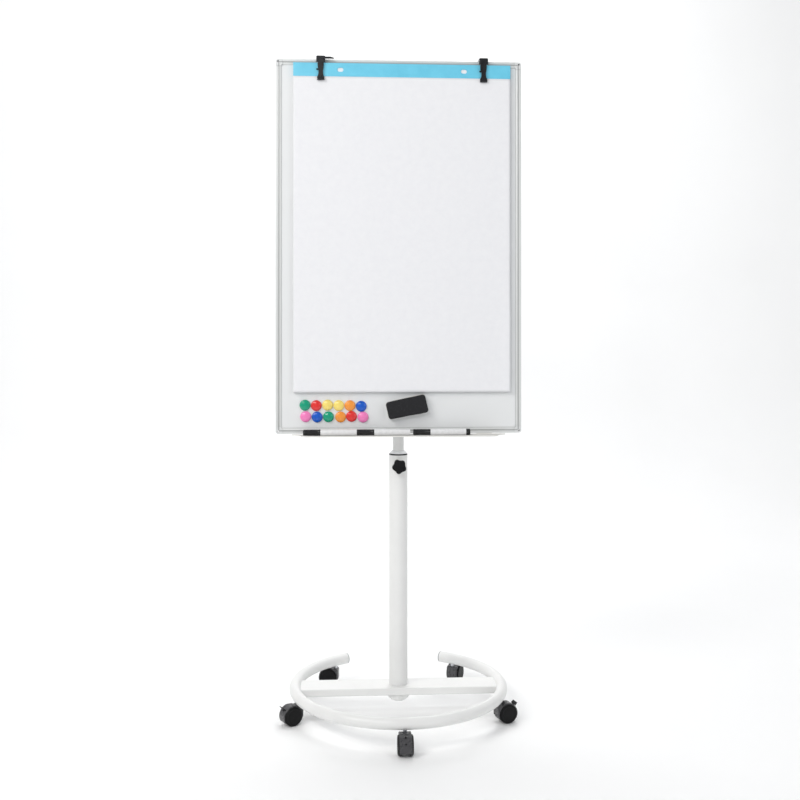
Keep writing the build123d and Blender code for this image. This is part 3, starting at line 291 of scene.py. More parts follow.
def writing_face():
    """Lacquered steel: very smooth, with faint dry-wipe smears and ghosting."""
    s = Surface("lacquered_face", 0.16, Coat_Weight=0.35, Coat_Roughness=0.06)
    cloud = s.ramp(s.noise(3.5, 3), 0.3, 0.7)
    base = s.mix(cloud, (0.775, 0.785, 0.79), (0.80, 0.81, 0.815))
    smear = s.ramp(s.noise(26, 6, 0.75, (1, 1, 0.22), 0.6), 0.58, 0.74)
    base = s.mix(s.math("MULTIPLY", smear, 0.05), base, (0.52, 0.54, 0.56))
    s.colour(base)
    s.rough(s.ramp(smear, 0, 1, 0.14, 0.30))
    s.bump(s.noise(240, 2), 0.000012)
    return s.done()


def wheel_black():
    """Hard matt black polyurethane with faint grimy patches."""
    s = Surface("wheel_black", 0.40, Specular_IOR_Level=0.15)
    edges = s.round_edges(0.0008)
    grime = s.ramp(s.noise(320, 5, 0.7), 0.5, 0.72)
    base = s.mix(s.math("MULTIPLY", grime, 0.15), (0.007, 0.007, 0.0075), (0.05, 0.048, 0.045))
    base = s.mix(s.math("MULTIPLY", edges, 0.15), base, (0.002, 0.002, 0.002))
    s.colour(base)
    s.rough(s.ramp(grime, 0, 1, 0.36, 0.60))
    s.bump(s.noise(1100, 3), 0.00003)
    return s.done()


def printed_band():
    """Cyan printed binding strip with a slight screen texture and rubbed patches."""
    s = Surface("printed_band", 0.42, Coat_Weight=0.15, Coat_Roughness=0.3)
    edges = s.round_edges(0.0004)
    cloud = s.ramp(s.noise(30, 4), 0.3, 0.7)
    base = s.mix(cloud, (0.125, 0.54, 0.74), (0.155, 0.60, 0.80))
    fibre = s.ramp(s.noise(900, 3, 0.6, (1, 1, 0.3)), 0.62, 0.74)
    base = s.mix(s.math("MULTIPLY", fibre, 0.18), base, (0.45, 0.78, 0.88))
    base = s.mix(s.math("MULTIPLY", edges, 0.4), base, (0.62, 0.84, 0.90))
    s.colour(base)
    s.rough(s.ramp(fibre, 0, 1, 0.38, 0.6))
    s.bump(s.noise(1400, 3), 0.00002)
    return s.done()


def paper(name, edge_lines=False):
    """Uncoated white paper: soft clouding and fibre tooth; edge_lines show the sheets of a stack."""
    s = Surface(name, 0.72, Sheen_Weight=0.06, Sheen_Roughness=0.5)
    cloud = s.ramp(s.noise(55, 5, 0.65), 0.3, 0.7)
    base = s.mix(cloud, (0.80, 0.80, 0.825), (0.83, 0.83, 0.85))
    if edge_lines:
        leaves = s.noise(2600, 2, 0.5, (0.02, 1, 0.02))
        base = s.mix(s.ramp(leaves, 0.45, 0.62), base, (0.60, 0.60, 0.62))
    s.colour(base)
    s.rough(s.ramp(s.noise(400, 4), 0.3, 0.7, 0.64, 0.80))
    s.bump(s.noise(2400, 4, 0.7), 0.00003)
    s.bump(s.noise(7, 3), 0.0012, 0.5)
    return s.done()


def felt(name, colour, fuzz):
    """Felt: matted fibres, faint sheen, chalky ink dust."""
    s = Surface(name, 0.95, Sheen_Weight=0.06, Sheen_Roughness=0.6)
    fibres = s.noise(1900, 5, 0.75, (1, 1, 1), 1.2)
    base = s.mix(s.ramp(fibres, 0.3, 0.7), shade(colour, 0.6), shade(colour, 1.6))
    dust = s.ramp(s.noise(160, 5, 0.7), 0.55, 0.75)
    base = s.mix(s.math("MULTIPLY", dust, 0.06), base, (0.22, 0.22, 0.23))
    s.colour(base)
    s.rough(s.ramp(fibres, 0.3, 0.7, 0.85, 1.0))
    s.bump(fibres, fuzz)
    s.bump(s.noise(210, 3), 0.0004)
    return s.done()


def gloss(name, colour, roughness=0.14):
    """Glossy coloured moulding, with shallow sink marks and hairline scratches."""
    s = Surface(name, roughness, Coat_Weight=0.5, Coat_Roughness=0.05, Specular_IOR_Level=0.35)
    cloud = s.ramp(s.noise(120, 3), 0.3, 0.7)
    base = s.mix(cloud, shade(colour, 0.93), shade(colour, 1.05))
    hair = s.ramp(s.noise(900, 4, 0.7, (1, 0.1, 1)), 0.66, 0.72)
    base = s.mix(s.math("MULTIPLY", hair, 0.08), base, (0.8, 0.8, 0.8))
    s.colour(base)
    s.rough(s.ramp(hair, 0, 1, roughness, roughness + 0.2))
    s.bump(s.noise(130, 2), 0.00006)
    return s.done()


face_material = writing_face()
wheel_material = wheel_black()
band_material = printed_band()
page_material = paper("page_paper")
stack_material = paper("stack_paper", edge_lines=True)

CAD_MATERIALS = {
    powder: ("base_ring", "crossbar", "outer_post", "inner_post", "knob_boss"),
    cup_white: ("bottom_cup",),
    plug_grey: ("ring_end_caps",),
    zinc: ("base_bolt", "post_foot", "caster_stems", "height_knob_stud", "tilt_bolt",
           "back_screws", "tray_screws"),
    guide_plastic: ("post_guide",),
    cast_aluminium: ("post_head",),
    knob_black: ("height_knob", "tilt_knob"),
    frame_upright: ("frame_left", "frame_right"),
    frame_level: ("frame_top", "frame_bottom"),
    corner_grey: ("corner_caps",),
    face_material: ("board_face",),
    fibreboard: ("board_core",),
    galvanised: ("board_back",),
    bracket_grey: ("back_rails", "tilt_bracket"),
    tray_white: ("pen_tray",),
    band_material: ("pad_band",),
    page_material: ("pad_top_sheet",),
    stack_material: ("pad_sheets",),
    clip_black: ("clip_left", "clip_right", "clip_lever_left", "clip_lever_right"),
}
CASTERS = ("front", "left", "right", "rear_left", "rear_right")
BRAKED = ("left", "right", "rear_right")


def dress(node, material):
    """Gives a CAD node its material."""
    mesh = nodes[node].data
    mesh.materials.clear()
    mesh.materials.append(material)


for material, names in CAD_MATERIALS.items():
    for node in names:
        dress(node, material)
for caster in CASTERS:
    dress(f"caster_hood_{caster}", hood_black)
    dress(f"caster_axle_{caster}", zinc)
for caster in BRAKED:
    dress(f"caster_brake_{caster}", pedal_black)


# ------------------------------------------------------------------ mesh helpers
SHARP_ANGLE = math.radians(40)
ON_AXIS_RADIUS = 1e-6


def mesh_from(bm, name, smooth=True):
    """Mesh made of a bmesh, which is freed."""
    mesh = bpy.data.meshes.new(name)
    bm.to_mesh(mesh)
    bm.free()
    for polygon in mesh.polygons:
        polygon.use_smooth = smooth
    return mesh


def new_piece(name, mesh, material, body, *replaced, slot=None, place=None):
    """Object of one mesh and one material that rides on a body and may stand for CAD nodes."""
    piece = bpy.data.objects.new(name, mesh)
    scene.collection.objects.link(piece)
    mesh.materials.append(material)
    if place:
        piece.matrix_world = place
    if body:
        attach(piece, body)
    if replaced:
        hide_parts(*replaced)
    return piece


def lathe(name, *profiles, segments=64, closed=False):
    """Mesh of (along, radius) profiles turned about the local X axis; a closed one joins its ends."""
    bm = bmesh.new()
    for profile in profiles:
        turn_profile(bm, profile, segments, closed)
    bmesh.ops.recalc_face_normals(bm, faces=bm.faces)
    mesh = mesh_from(bm, name)
    mesh.set_sharp_from_angle(angle=SHARP_ANGLE)
    return mesh


def turn_profile(bm, profile, segments, closed):
    """Adds one turned profile to a bmesh; a point on the axis becomes a single vertex."""
    rings = []
    for along, radius in profile:
        if radius < ON_AXIS_RADIUS:
            rings.append([bm.verts.new((along, 0, 0))])
            continue
        rings.append([
            bm.verts.new((along, radius * math.cos(turn), radius * math.sin(turn)))
            for turn in (2 * math.pi * i / segments for i in range(segments))
        ])
    following = rings[1:] + rings[:1] if closed else rings[1:]
    for low, high in zip(rings, following):
        for i in range(segments):
            j = (i + 1) % segments
            corners = [low[i % len(low)], low[j % len(low)], high[j % len(high)], high[i % len(high)]]
            corners = list(dict.fromkeys(corners))
            if len(corners) > 2:
                bm.faces.new(corners)


def arc(centre, radius, start, end, steps=8):
    """Points of a circular arc in the (along, radius) plane, angles in degrees."""
    return [
        (centre[0] + radius * math.cos(math.radians(a)), centre[1] + radius * math.sin(math.radians(a)))
        for a in (start + (end - start) * i / steps for i in range(steps + 1))
    ]


# ------------------------------------------------------------------ post collar
COLLAR_BORE, SLEEVE_RADIUS, RIM_RADIUS, CONE_TIP = 0.01505, 0.02295, 0.02495, 0.0165
SLEEVE_FOOT, POST_TOP, RIM_TOP, CONE_TOP = 0.682, 0.698, 0.7015, 0.7095
RIM_ROUND, CONE_STEP_IN, CONE_SWELL = 0.0008, 0.0016, 0.0012
CONE_RADIUS = RIM_RADIUS - CONE_STEP_IN
ON_AXIS = Matrix.Rotation(-math.pi / 2, 4, "Y")
rim_profile = (
    [(SLEEVE_FOOT, COLLAR_BORE), (SLEEVE_FOOT, SLEEVE_RADIUS), (POST_TOP, SLEEVE_RADIUS)]
    + arc((POST_TOP + RIM_ROUND, RIM_RADIUS - RIM_ROUND), RIM_ROUND, 180, 90, 4)
    + arc((RIM_TOP - RIM_ROUND, RIM_RADIUS - RIM_ROUND), RIM_ROUND, 90, 0, 4)
    + [(RIM_TOP, COLLAR_BORE)]
)
cone_profile = (
    [(RIM_TOP, COLLAR_BORE), (RIM_TOP, CONE_RADIUS)]
    + [
        (
            RIM_TOP + (CONE_TOP - RIM_TOP) * t,
            CONE_RADIUS - (CONE_RADIUS - CONE_TIP) * t + CONE_SWELL * math.sin(math.pi * t),
        )
        for t in (0.15, 0.3, 0.45, 0.6, 0.75, 0.9, 1.0)
    ]
    + [(CONE_TOP, COLLAR_BORE)]
)
new_piece("collar_rim", lathe("collar_rim", rim_profile, closed=True), collar_black,
          "base", "post_collar", slot="collar_plastic", place=ON_AXIS)
# The cone wears the painted reflection of the white post.
new_piece("collar_cone", lathe("collar_cone", cone_profile, closed=True), collar_cone_painted_reflection,
          "base", slot="collar_plastic", place=ON_AXIS)

# ------------------------------------------------------------------ caster wheels
WHEEL_RADIUS, WHEEL_INNER, WHEEL_OUTER = 0.025, 0.0092, 0.0195
AXLE_END, AXLE_BORE, HUB_RADIUS = 0.0169, 0.00305, 0.006
RECESS_END, RECESS_RADIUS = 0.0163, 0.0216
INNER_ROUND, SHOULDER_ROUND = 0.0006, 0.0050
RING_RADIUS, STEP_RADIUS, DISC_RADIUS = 0.0195, 0.0189, 0.0180
STEP_SINK, DISC_SINK, DISC_CROWN = 0.0006, 0.0007, 0.0004
DIMPLE_RADIUS, DIMPLE_SINK = 0.0042, 0.0005
wheel_profile = (
    [(AXLE_END, 0.0), (AXLE_END, AXLE_BORE), (WHEEL_INNER, AXLE_BORE), (WHEEL_INNER, HUB_RADIUS)]
    + [(RECESS_END, HUB_RADIUS), (RECESS_END, RECESS_RADIUS), (WHEEL_INNER, RECESS_RADIUS)]
    + arc((WHEEL_INNER + INNER_ROUND, WHEEL_RADIUS - INNER_ROUND), INNER_ROUND, 180, 90, 4)
    + arc((WHEEL_OUTER - SHOULDER_ROUND, WHEEL_RADIUS - SHOULDER_ROUND), SHOULDER_ROUND, 90, 8, 9)
    + [(WHEEL_OUTER, RING_RADIUS), (WHEEL_OUTER - STEP_SINK, STEP_RADIUS)]
    + [(WHEEL_OUTER - DISC_SINK, DISC_RADIUS)]
    + [
        (WHEEL_OUTER - DISC_SINK + DISC_CROWN * (1 - (radius / DISC_RADIUS) ** 2), radius)
        for radius in (0.014, 0.010, 0.006)
    ]
    + [(WHEEL_OUTER - DIMPLE_SINK, DIMPLE_RADIUS), (WHEEL_OUTER - DIMPLE_SINK, 0.0)]
)
other_wheel = [(-along, radius) for along, radius in wheel_profile]
wheel_spins = {joint["child"]: joint for joint in frame["joints"] if joint["name"].startswith("wheel_spin")}
for caster in CASTERS:
    spin = wheel_spins[f"wheels_{caster}"]
    facing = Vector(spin["axis"]).to_track_quat("X", "Z").to_matrix().to_4x4()
    new_piece(
        f"wheels_{caster}", lathe(f"wheels_{caster}", wheel_profile, other_wheel, segments=96),
        wheel_material, f"wheels_{caster}", f"caster_wheels_{caster}",
        slot="wheel_plastic", place=Matrix.Translation(spin["pos_m"]) @ facing,
    )

# ------------------------------------------------------------------ paper pad
PAD_LEFT, PAD_RIGHT = -0.283, 0.299
PAD_BOTTOM = 0.871
BAND_BOTTOM = 1.7125
BOARD_SKIN = -0.0443


SIDE_CURL_START, FOOT_CURL_START = 0.93, 0.965
EDGE_WAVE = 0.0008
LEAF_COLUMNS, LEAF_ROWS = 90, 120


def leaf_lift(u, v, x, z, phase, curl):
    """How far a leaf stands off the pad at u of its width and v of its height below the band."""
    side = max(0.0, (u - SIDE_CURL_START) / (1 - SIDE_CURL_START)) ** 2
    side *= 0.35 + 0.65 * math.sin(5.2 * v + 0.4) ** 2
    foot = max(0.0, (v - FOOT_CURL_START) / (1 - FOOT_CURL_START)) ** 2
    foot *= 0.5 + 0.5 * math.cos(3.1 * u)
    wave = noise.noise(Vector((x * 5, z * 4, phase))) * 0.5 + 0.5
    return curl * (v * side + foot + 0.35 * wave * min(1, v * 3))


def leaf(name, front, thickness, curl, shift_left=0.0, shift_right=0.0, phase=0.0, drop=0.0):
    """One thin closed leaf that hangs from the band, with its side and foot edges shifted and curled."""
    columns, rows = LEAF_COLUMNS, LEAF_ROWS
    bm = bmesh.new()
    grid = {}
    left, right, bottom = PAD_LEFT + shift_left, PAD_RIGHT + shift_right, PAD_BOTTOM + drop
    for side, offset in (("front", 0.0), ("back", thickness)):
        for i in range(columns + 1):
            for j in range(rows + 1):
                u, v = i / columns, j / rows
                x = left + (right - left) * u
                z = BAND_BOTTOM + (bottom - BAND_BOTTOM) * v
                lift = leaf_lift(u, v, x, z, phase, curl)
                x_wave = EDGE_WAVE * noise.noise(Vector((phase, z * 9, 0))) * u * min(1, v * 2)
                grid[side, i, j] = bm.verts.new((x + x_wave, front + offset - lift, z))
    for i in range(columns):
        for j in range(rows):
            for side in ("front", "back"):
                corners = ((i, j), (i, j + 1), (i + 1, j + 1), (i + 1, j))
                quad = [grid[side, *corner] for corner in corners]
                bm.faces.new(quad if side == "front" else [quad[0], *quad[:0:-1]])
    for i in range(columns):
        for j, flip in ((0, False), (rows, True)):
            quad = [grid["front", i, j], grid["front", i + 1, j], grid["back", i + 1, j], grid["back", i, j]]
            bm.faces.new(quad[::-1] if flip else quad)
    for j in range(rows):
        for i, flip in ((0, True), (columns, False)):
            quad = [grid["front", i, j], grid["front", i, j + 1], grid["back", i, j + 1], grid["back", i, j]]
            bm.faces.new(quad[::-1] if flip else quad)
    bmesh.ops.recalc_face_normals(bm, faces=bm.faces)
    return mesh_from(bm, name)


STACK_THICKNESS, LEAF_THICKNESS, PAGE_THICKNESS = 0.0063, 0.00018, 0.00022
STACK_FRONT, LEAF_FRONT, LEAF_STEP, PAGE_FRONT = 0.0066, 0.0068, 0.0004, 0.0084
LEAF_CURL, PAGE_CURL = 0.0003, 0.0024
new_piece(
    "pad_stack", leaf("pad_stack", BOARD_SKIN - STACK_FRONT, STACK_THICKNESS, 0.0, phase=0.3),
    stack_material, "board", "pad_sheets", slot="paper",
)
for count, (shift_left, shift_right, phase) in enumerate(
    ((0.0006, -0.0009, 1.7), (-0.0002, 0.0003, 3.1), (0.0004, -0.0004, 4.9))
):
    name = f"pad_leaf_{count}"
    lowered = LEAF_STEP * count
    mesh = leaf(
        name, BOARD_SKIN - LEAF_FRONT - lowered, LEAF_THICKNESS, LEAF_CURL,
        shift_left, shift_right, phase, drop=lowered,
    )
    new_piece(name, mesh, page_material, "board", slot="paper")
page = new_piece(
    "pad_page", leaf("pad_page", BOARD_SKIN - PAGE_FRONT, PAGE_THICKNESS, PAGE_CURL, phase=8.2),
    page_material, None, "pad_top_sheet", slot="paper",
)
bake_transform(page)

# The sheets show through the two punches of the strip, a little below its face.
PUNCH_SPACING, PUNCH_HEIGHT, PAD_MIDDLE = 0.331, 1.7305, 0.008
PUNCH_HALF_LENGTH, PUNCH_HALF_WIDTH = 0.0079, 0.0054
PUNCH_FLOOR, PUNCH_BACK, PUNCH_ROUND, PUNCH_STEPS = 0.0072, 0.0003, 0.0003, 48


def punch_sheets(name):
    """Rounded slug of sheets that fills one slot-shaped punch."""
    straight = PUNCH_HALF_LENGTH - PUNCH_HALF_WIDTH
    outline = []
    for turn in (2 * math.pi * step / PUNCH_STEPS for step in range(PUNCH_STEPS)):
        shift = math.copysign(straight, math.cos(turn))
        outline.append((shift + PUNCH_HALF_WIDTH * math.cos(turn), PUNCH_HALF_WIDTH * math.sin(turn)))
    bm = bmesh.new()
    loops = [
        [bm.verts.new((x * inset, -depth, z * inset)) for x, z in outline]
        for depth, inset in ((PUNCH_BACK, 1.0), (PUNCH_FLOOR - PUNCH_ROUND, 1.0), (PUNCH_FLOOR, 0.95))
    ]
    for low, high in zip(loops, loops[1:]):
        for i in range(PUNCH_STEPS):
            j = (i + 1) % PUNCH_STEPS
            bm.faces.new((low[i], low[j], high[j], high[i]))
    bm.faces.new(loops[0][::-1])
    bm.faces.new(loops[-1])
    bmesh.ops.recalc_face_normals(bm, faces=bm.faces)
    return mesh_from(bm, name, smooth=False)


for number, side in enumerate((-1, 1)):
    name = f"punch_sheets_{number}"
    place = Matrix.Translation((PAD_MIDDLE + side * PUNCH_SPACING / 2, BOARD_SKIN, PUNCH_HEIGHT))
    new_piece(name, punch_sheets(name), page_material, "board", slot="paper", place=place)

# ------------------------------------------------------------------ magnets
MAGNET_RADIUS, MAGNET_RISE = 0.0145, 0.008
STEEL_FACE = -0.042
MAGNET_COLOURS = {
    "green": (0.0, 0.34, 0.19), "red": (0.76, 0.030, 0.028), "yellow": (0.92, 0.72, 0.18),
    "orange": (0.92, 0.32, 0.045), "blue": (0.0, 0.095, 0.56), "pink": (0.92, 0.23, 0.53),
}
TOP_ROW = ("green", "red", "yellow", "yellow", "orange", "blue")
LOW_ROW = ("pink", "blue", "green", "orange", "red", "pink")
FOOT_INSET, FOOT_ROUND = 0.0012, 0.0008
SKIRT_TOP, DOME_FOOT, DOME_START, DOME_INSET, DOME_STEPS = 0.0022, 0.0025, 0.0026, 0.0004, 14
magnet_profile = (
    [(0.0, 0.0), (0.0, MAGNET_RADIUS - FOOT_INSET)]
    + arc((FOOT_ROUND, MAGNET_RADIUS - FOOT_ROUND), FOOT_ROUND, 180, 90, 5)
    + [(SKIRT_TOP, MAGNET_RADIUS), (DOME_FOOT, MAGNET_RADIUS - DOME_INSET)]
    + [
        (DOME_START + (MAGNET_RISE - DOME_START) * math.sin(t), (MAGNET_RADIUS - DOME_INSET) * math.cos(t))
        for t in (math.pi / 2 * i / DOME_STEPS for i in range(DOME_STEPS + 1))
    ]
)
glossy = {name: gloss(f"magnet_{name}", colour) for name, colour in MAGNET_COLOURS.items()}
# Millimetres that each magnet was pushed off its row by hand: to the right, and up.
TOP_NUDGES = ((0, 0), (0, -1.3), (0, 0), (0, -1.3), (0, -1.6), (0, -3.4))
LOW_NUDGES = ((1.9, 0), (2.4, -1.3), (2.4, -0.8), (4.8, -1.3), (3.9, 0), (4.8, -1.9))
MAGNET_START, MAGNET_PITCH = -0.252, 0.030
TOP_ROW_HEIGHT, LOW_ROW_HEIGHT = 0.83625, 0.80575
for row, (colours, nudges, height) in enumerate(
    ((TOP_ROW, TOP_NUDGES, TOP_ROW_HEIGHT), (LOW_ROW, LOW_NUDGES, LOW_ROW_HEIGHT))
):
    for column, (colour, (right, up)) in enumerate(zip(colours, nudges)):
        across = MAGNET_START + MAGNET_PITCH * column + right / 1000
        place = Vector((across, STEEL_FACE, height + up / 1000))
        name = f"magnet_{row}{column}"
        replaced = () if row or column else ("magnets",)
        new_piece(
            name, lathe(name, magnet_profile, segments=48), glossy[colour], "board", *replaced,
            slot="magnet_plastic", place=Matrix.Translation(place) @ Matrix.Rotation(-math.pi / 2, 4, "Z"),
        )

# ------------------------------------------------------------------ eraser
ERASER_SPOT, ERASER_TURN = (0.020, STEEL_FACE - 0.00015, 0.831), math.radians(-13)
ERASER_PLACE = Matrix.Translation(ERASER_SPOT) @ Matrix.Rotation(ERASER_TURN, 4, "Y")
LONG_EDGE, ERASER_CUTS, ERASER_TAPER, ERASER_SEED = 0.006, 14, 0.06, 3.0


def soft_block(name, length, width, low, high, corner, rounding, bulge):
    """Rounded block between two distances from the board, with slack sides and worn corners."""
    bm = bmesh.new()
    bmesh.ops.create_cube(bm, size=1.0)
    bmesh.ops.scale(bm, vec=(length, high - low, width), verts=bm.verts)
    bmesh.ops.translate(bm, vec=(0, -(low + high) / 2, 0), verts=bm.verts)
    for size, segments, upright in ((corner, 6, True), (rounding, 4, False)):
        bends = [e for e in bm.edges if (abs(e.verts[0].co.y - e.verts[1].co.y) > rounding) == upright]
        bmesh.ops.bevel(bm, geom=bends, offset=size, segments=segments, profile=0.5, affect="EDGES")
    long_edges = [e for e in bm.edges if e.calc_length() > LONG_EDGE]
    bmesh.ops.subdivide_edges(bm, edges=long_edges, cuts=ERASER_CUTS, use_grid_fill=True)
    for vertex in bm.verts:
        x, _, z = vertex.co
        sag = noise.noise(Vector((x * 28 + ERASER_SEED, vertex.co.y * 30, z * 28)))
        centre = Vector((x, vertex.co.y, z)).normalized()
        vertex.co += centre * sag * bulge
        vertex.co.z += bulge * 1.4 * math.sin(x * 38 + ERASER_SEED)
        vertex.co.z *= 1 + ERASER_TAPER * x / length
    return mesh_from(bm, name)


eraser_black = felt("eraser_black", (0.009, 0.009, 0.011), 0.00022)
eraser_grey = felt("eraser_grey", (0.66, 0.66, 0.60), 0.0002)
top_block = soft_block(
    "eraser_top", length=0.1080, width=0.0478, low=0.0052, high=0.0205,
    corner=0.0080, rounding=0.0036, bulge=0.0008,
)
felt_block = soft_block(
    "eraser_felt", length=0.1092, width=0.0492, low=0.0006, high=0.0058,
    corner=0.0085, rounding=0.0012, bulge=0.0003,
)
new_piece("eraser_top", top_block, eraser_black, "eraser", "eraser", slot="felt", place=ERASER_PLACE)
new_piece("eraser_felt", felt_block, eraser_grey, "eraser", slot="felt", place=ERASER_PLACE)

# ------------------------------------------------------------------ markers
MARKER_STARTS = {"left": -0.2563, "middle": -0.1143, "right": 0.0349}
MARKER_Y, MARKER_Z = -0.073, 0.76555
MARKER_LENGTH, CAP_LENGTH, PLUG_LENGTH = 0.1415, 0.046, 0.011
CAP_RADIUS, BARREL_RADIUS = 0.0080, 0.0085
NUB_RADIUS, NUB_FOOT, WELL_RADIUS, WELL_DEPTH, TIP_FACE = 0.0045, 0.0048, 0.0058, 0.0012, 0.0002
TIP_ROUND, EDGE_ROUND, JOINT_ROUND, PLUG_ROUND = 0.0022, 0.0006, 0.0005, 0.0016
BARREL_SPIGOT, PLUG_SPIGOT, LINE_DEPTH = 0.0076, 0.0070, 0.0004
marker_black = gloss("marker_black", (0.007, 0.007, 0.008), 0.22)
marker_white = gloss("marker_white", (0.80, 0.80, 0.81), 0.22)


def groove(start, slope, width, depth):
    """Shallow groove turned into the cap, with sloping sides."""
    floor = CAP_RADIUS - depth
    inner = start + slope + width
    return [(start, CAP_RADIUS), (start + slope, floor), (inner, floor), (inner + slope, CAP_RADIUS)]


def cap_profile():
    """Marker cap, from the well in its tip to its mouth."""
    return (
        [(0.0, 0.0), (0.0, NUB_RADIUS), (WELL_DEPTH, NUB_FOOT), (WELL_DEPTH, WELL_RADIUS)]
        + arc((TIP_FACE + TIP_ROUND, CAP_RADIUS - TIP_ROUND), TIP_ROUND, 180, 90, 6)
        + groove(0.0078, slope=0.0003, width=0.0007, depth=0.00035)
        + groove(CAP_LENGTH - 0.0068, slope=0.0004, width=0.0006, depth=0.0003)
        + arc((CAP_LENGTH - EDGE_ROUND, CAP_RADIUS - EDGE_ROUND), EDGE_ROUND, 90, 0, 4)
        + [(CAP_LENGTH, BARREL_RADIUS - EDGE_ROUND), (CAP_LENGTH, 0.0)]
    )


def shoulder(foot, spigot, start):
    """Narrow spigot and the rounded step up to the barrel's radius."""
    return (
        [(foot, 0.0), (foot, spigot), (start, spigot)]
        + arc((start + JOINT_ROUND, BARREL_RADIUS - JOINT_ROUND), JOINT_ROUND, 180, 90, 4)
    )


def barrel_profile(end):
    """Barrel from its spigot inside the cap to its far end."""
    return (
        shoulder(CAP_LENGTH - 0.004, BARREL_SPIGOT, CAP_LENGTH + 0.0002)
        + [(end - 0.0008, BARREL_RADIUS)]
        + arc((end - EDGE_ROUND, BARREL_RADIUS - EDGE_ROUND), EDGE_ROUND, 90, 0, 4)
        + [(end, 0.0)]
    )


def plug_profile(barrel_end):
    """Dark end plug with one fine line round it."""
    end = barrel_end + PLUG_LENGTH
    return (
        shoulder(barrel_end - 0.003, PLUG_SPIGOT, barrel_end + 0.0003)
        + [(end - 0.0046, BARREL_RADIUS), (end - 0.0042, BARREL_RADIUS - LINE_DEPTH)]
        + [(end - 0.0036, BARREL_RADIUS)]
        + arc((end - PLUG_ROUND, BARREL_RADIUS - PLUG_ROUND), PLUG_ROUND, 90, 0, 5)
        + [(end, 0.0)]
    )


for side, start in MARKER_STARTS.items():
    parts = [("cap", cap_profile(), marker_black), ("barrel", barrel_profile(MARKER_LENGTH), marker_white)]
    if side == "right":
        parts.append(("plug", plug_profile(MARKER_LENGTH), marker_black))
    for part, profile, material in parts:
        name = f"marker_{part}_{side}"
        replaced = (f"marker_{side}",) if part == "cap" else ()
        new_piece(
            name, lathe(name, profile, segments=56), material, f"marker_{side}", *replaced,
            slot=f"marker_{side}_body", place=Matrix.Translation((start, MARKER_Y, MARKER_Z)),
        )

# ------------------------------------------------------------------ floor
FLOOR_FRONT, FLOOR_REAR, FLOOR_HALF_WIDTH, BACKDROP_TOP = -7.0, 2.6, 8.0, 6.0
SWEEP_RADIUS, SWEEP_STEP = 1.6, 6


def studio_floor():
    """Pale floor that sweeps up into a backdrop behind the object."""
    surface = Surface("studio_floor", 0.6)
    cloud = surface.ramp(surface.noise(1.5, 3), 0.3, 0.7)
    surface.colour(surface.mix(cloud, (0.93, 0.93, 0.93), (0.95, 0.95, 0.95)))
    surface.bump(surface.noise(900, 2), 0.00002)
    bends = [math.radians(angle) for angle in range(SWEEP_STEP, 91, SWEEP_STEP)]
    sweep = [(FLOOR_FRONT, 0.0), (FLOOR_REAR, 0.0)]
    sweep += [
        (FLOOR_REAR + SWEEP_RADIUS * math.sin(bend), SWEEP_RADIUS - SWEEP_RADIUS * math.cos(bend))
        for bend in bends
    ]
    sweep.append((FLOOR_REAR + SWEEP_RADIUS, BACKDROP_TOP))
    bm = bmesh.new()
    left, right = [
        [bm.verts.new((x, y, z)) for y, z in sweep] for x in (-FLOOR_HALF_WIDTH, FLOOR_HALF_WIDTH)
    ]
    for i in range(len(sweep) - 1):
        bm.faces.new((left[i], right[i], right[i + 1], left[i + 1]))
    mesh = mesh_from(bm, "studio_floor")
    mesh.materials.append(surface.done())
    floor = bpy.data.objects.new("studio_floor", mesh)
    scene.collection.objects.link(floor)
    return floor


studio_floor()

# ------------------------------------------------------------------ light and camera
WORLD_COLOUR, WORLD_STRENGTH = (0.97, 0.985, 1.0, 1), 0.47
world = bpy.data.worlds.new("studio")
scene.world = world
world.use_nodes = True
world.node_tree.nodes["Background"].inputs["Color"].default_value = WORLD_COLOUR
world.node_tree.nodes["Background"].inputs["Strength"].default_value = WORLD_STRENGTH


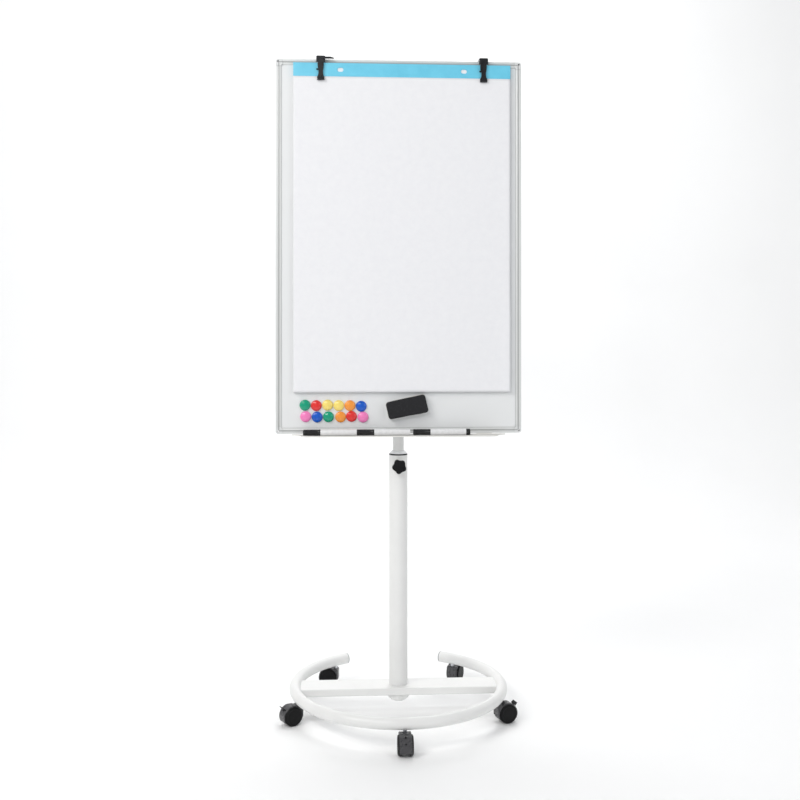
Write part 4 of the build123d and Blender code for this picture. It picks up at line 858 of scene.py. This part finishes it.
def soft_light(name, place, aim, size, power, colour=(1, 1, 1)):
    """Round area light aimed at a point."""
    light = bpy.data.lights.new(name, "AREA")
    light.shape = "DISK"
    light.size = size
    light.energy = power
    light.color = colour
    lamp = bpy.data.objects.new(name, light)
    scene.collection.objects.link(lamp)
    lamp.location = place
    lamp.rotation_euler = (Vector(aim) - Vector(place)).to_track_quat("-Z", "Y").to_euler()


BOARD_AIM, BODY_AIM = (0, 0, 0.9), (0, 0, 0.8)
WARM, COOL = (1.0, 0.985, 0.96), (0.96, 0.98, 1.0)
soft_light("key", (-2.6, -2.4, 3.2), BOARD_AIM, size=1.8, power=62, colour=WARM)
soft_light("spark", (-1.0, -3.1, 2.3), BOARD_AIM, size=0.30, power=20)
soft_light("fill", (2.8, -2.4, 1.8), BODY_AIM, size=2.2, power=15, colour=COOL)
soft_light("rim", (0.4, 2.4, 2.8), BODY_AIM, size=1.8, power=12)
soft_light("backdrop_high", (0.0, 1.6, 5.2), (0.0, 4.4, 1.6), size=2.6, power=95)
soft_light("backdrop_left", (-3.6, 1.2, 2.2), (-0.6, 4.4, 1.2), size=1.6, power=14)
soft_light("backdrop_right", (3.6, 1.2, 2.2), (0.6, 4.4, 1.2), size=1.6, power=14)

# The camera stands level; the focal length is in pixels of the 800 pixel wide picture.
CAMERA_TURN = math.radians(-3.3)
CAMERA_DISTANCE, CAMERA_HEIGHT = 2.750, 0.999
SENSOR_WIDTH, PICTURE_WIDTH, FOCAL_PIXELS = 36.0, 800, 1008.7
SHIFT_RIGHT, SHIFT_UP = 0.0021, -0.06975
camera_data = bpy.data.cameras.new("camera")
camera_data.sensor_width = SENSOR_WIDTH
camera_data.lens = FOCAL_PIXELS * SENSOR_WIDTH / PICTURE_WIDTH
camera_data.shift_x = SHIFT_RIGHT
camera_data.shift_y = SHIFT_UP
camera = bpy.data.objects.new("camera", camera_data)
scene.collection.objects.link(camera)
camera.location = (
    CAMERA_DISTANCE * math.sin(CAMERA_TURN), -CAMERA_DISTANCE * math.cos(CAMERA_TURN), CAMERA_HEIGHT
)
camera.rotation_euler = (math.pi / 2, 0, CAMERA_TURN)
scene.camera = camera
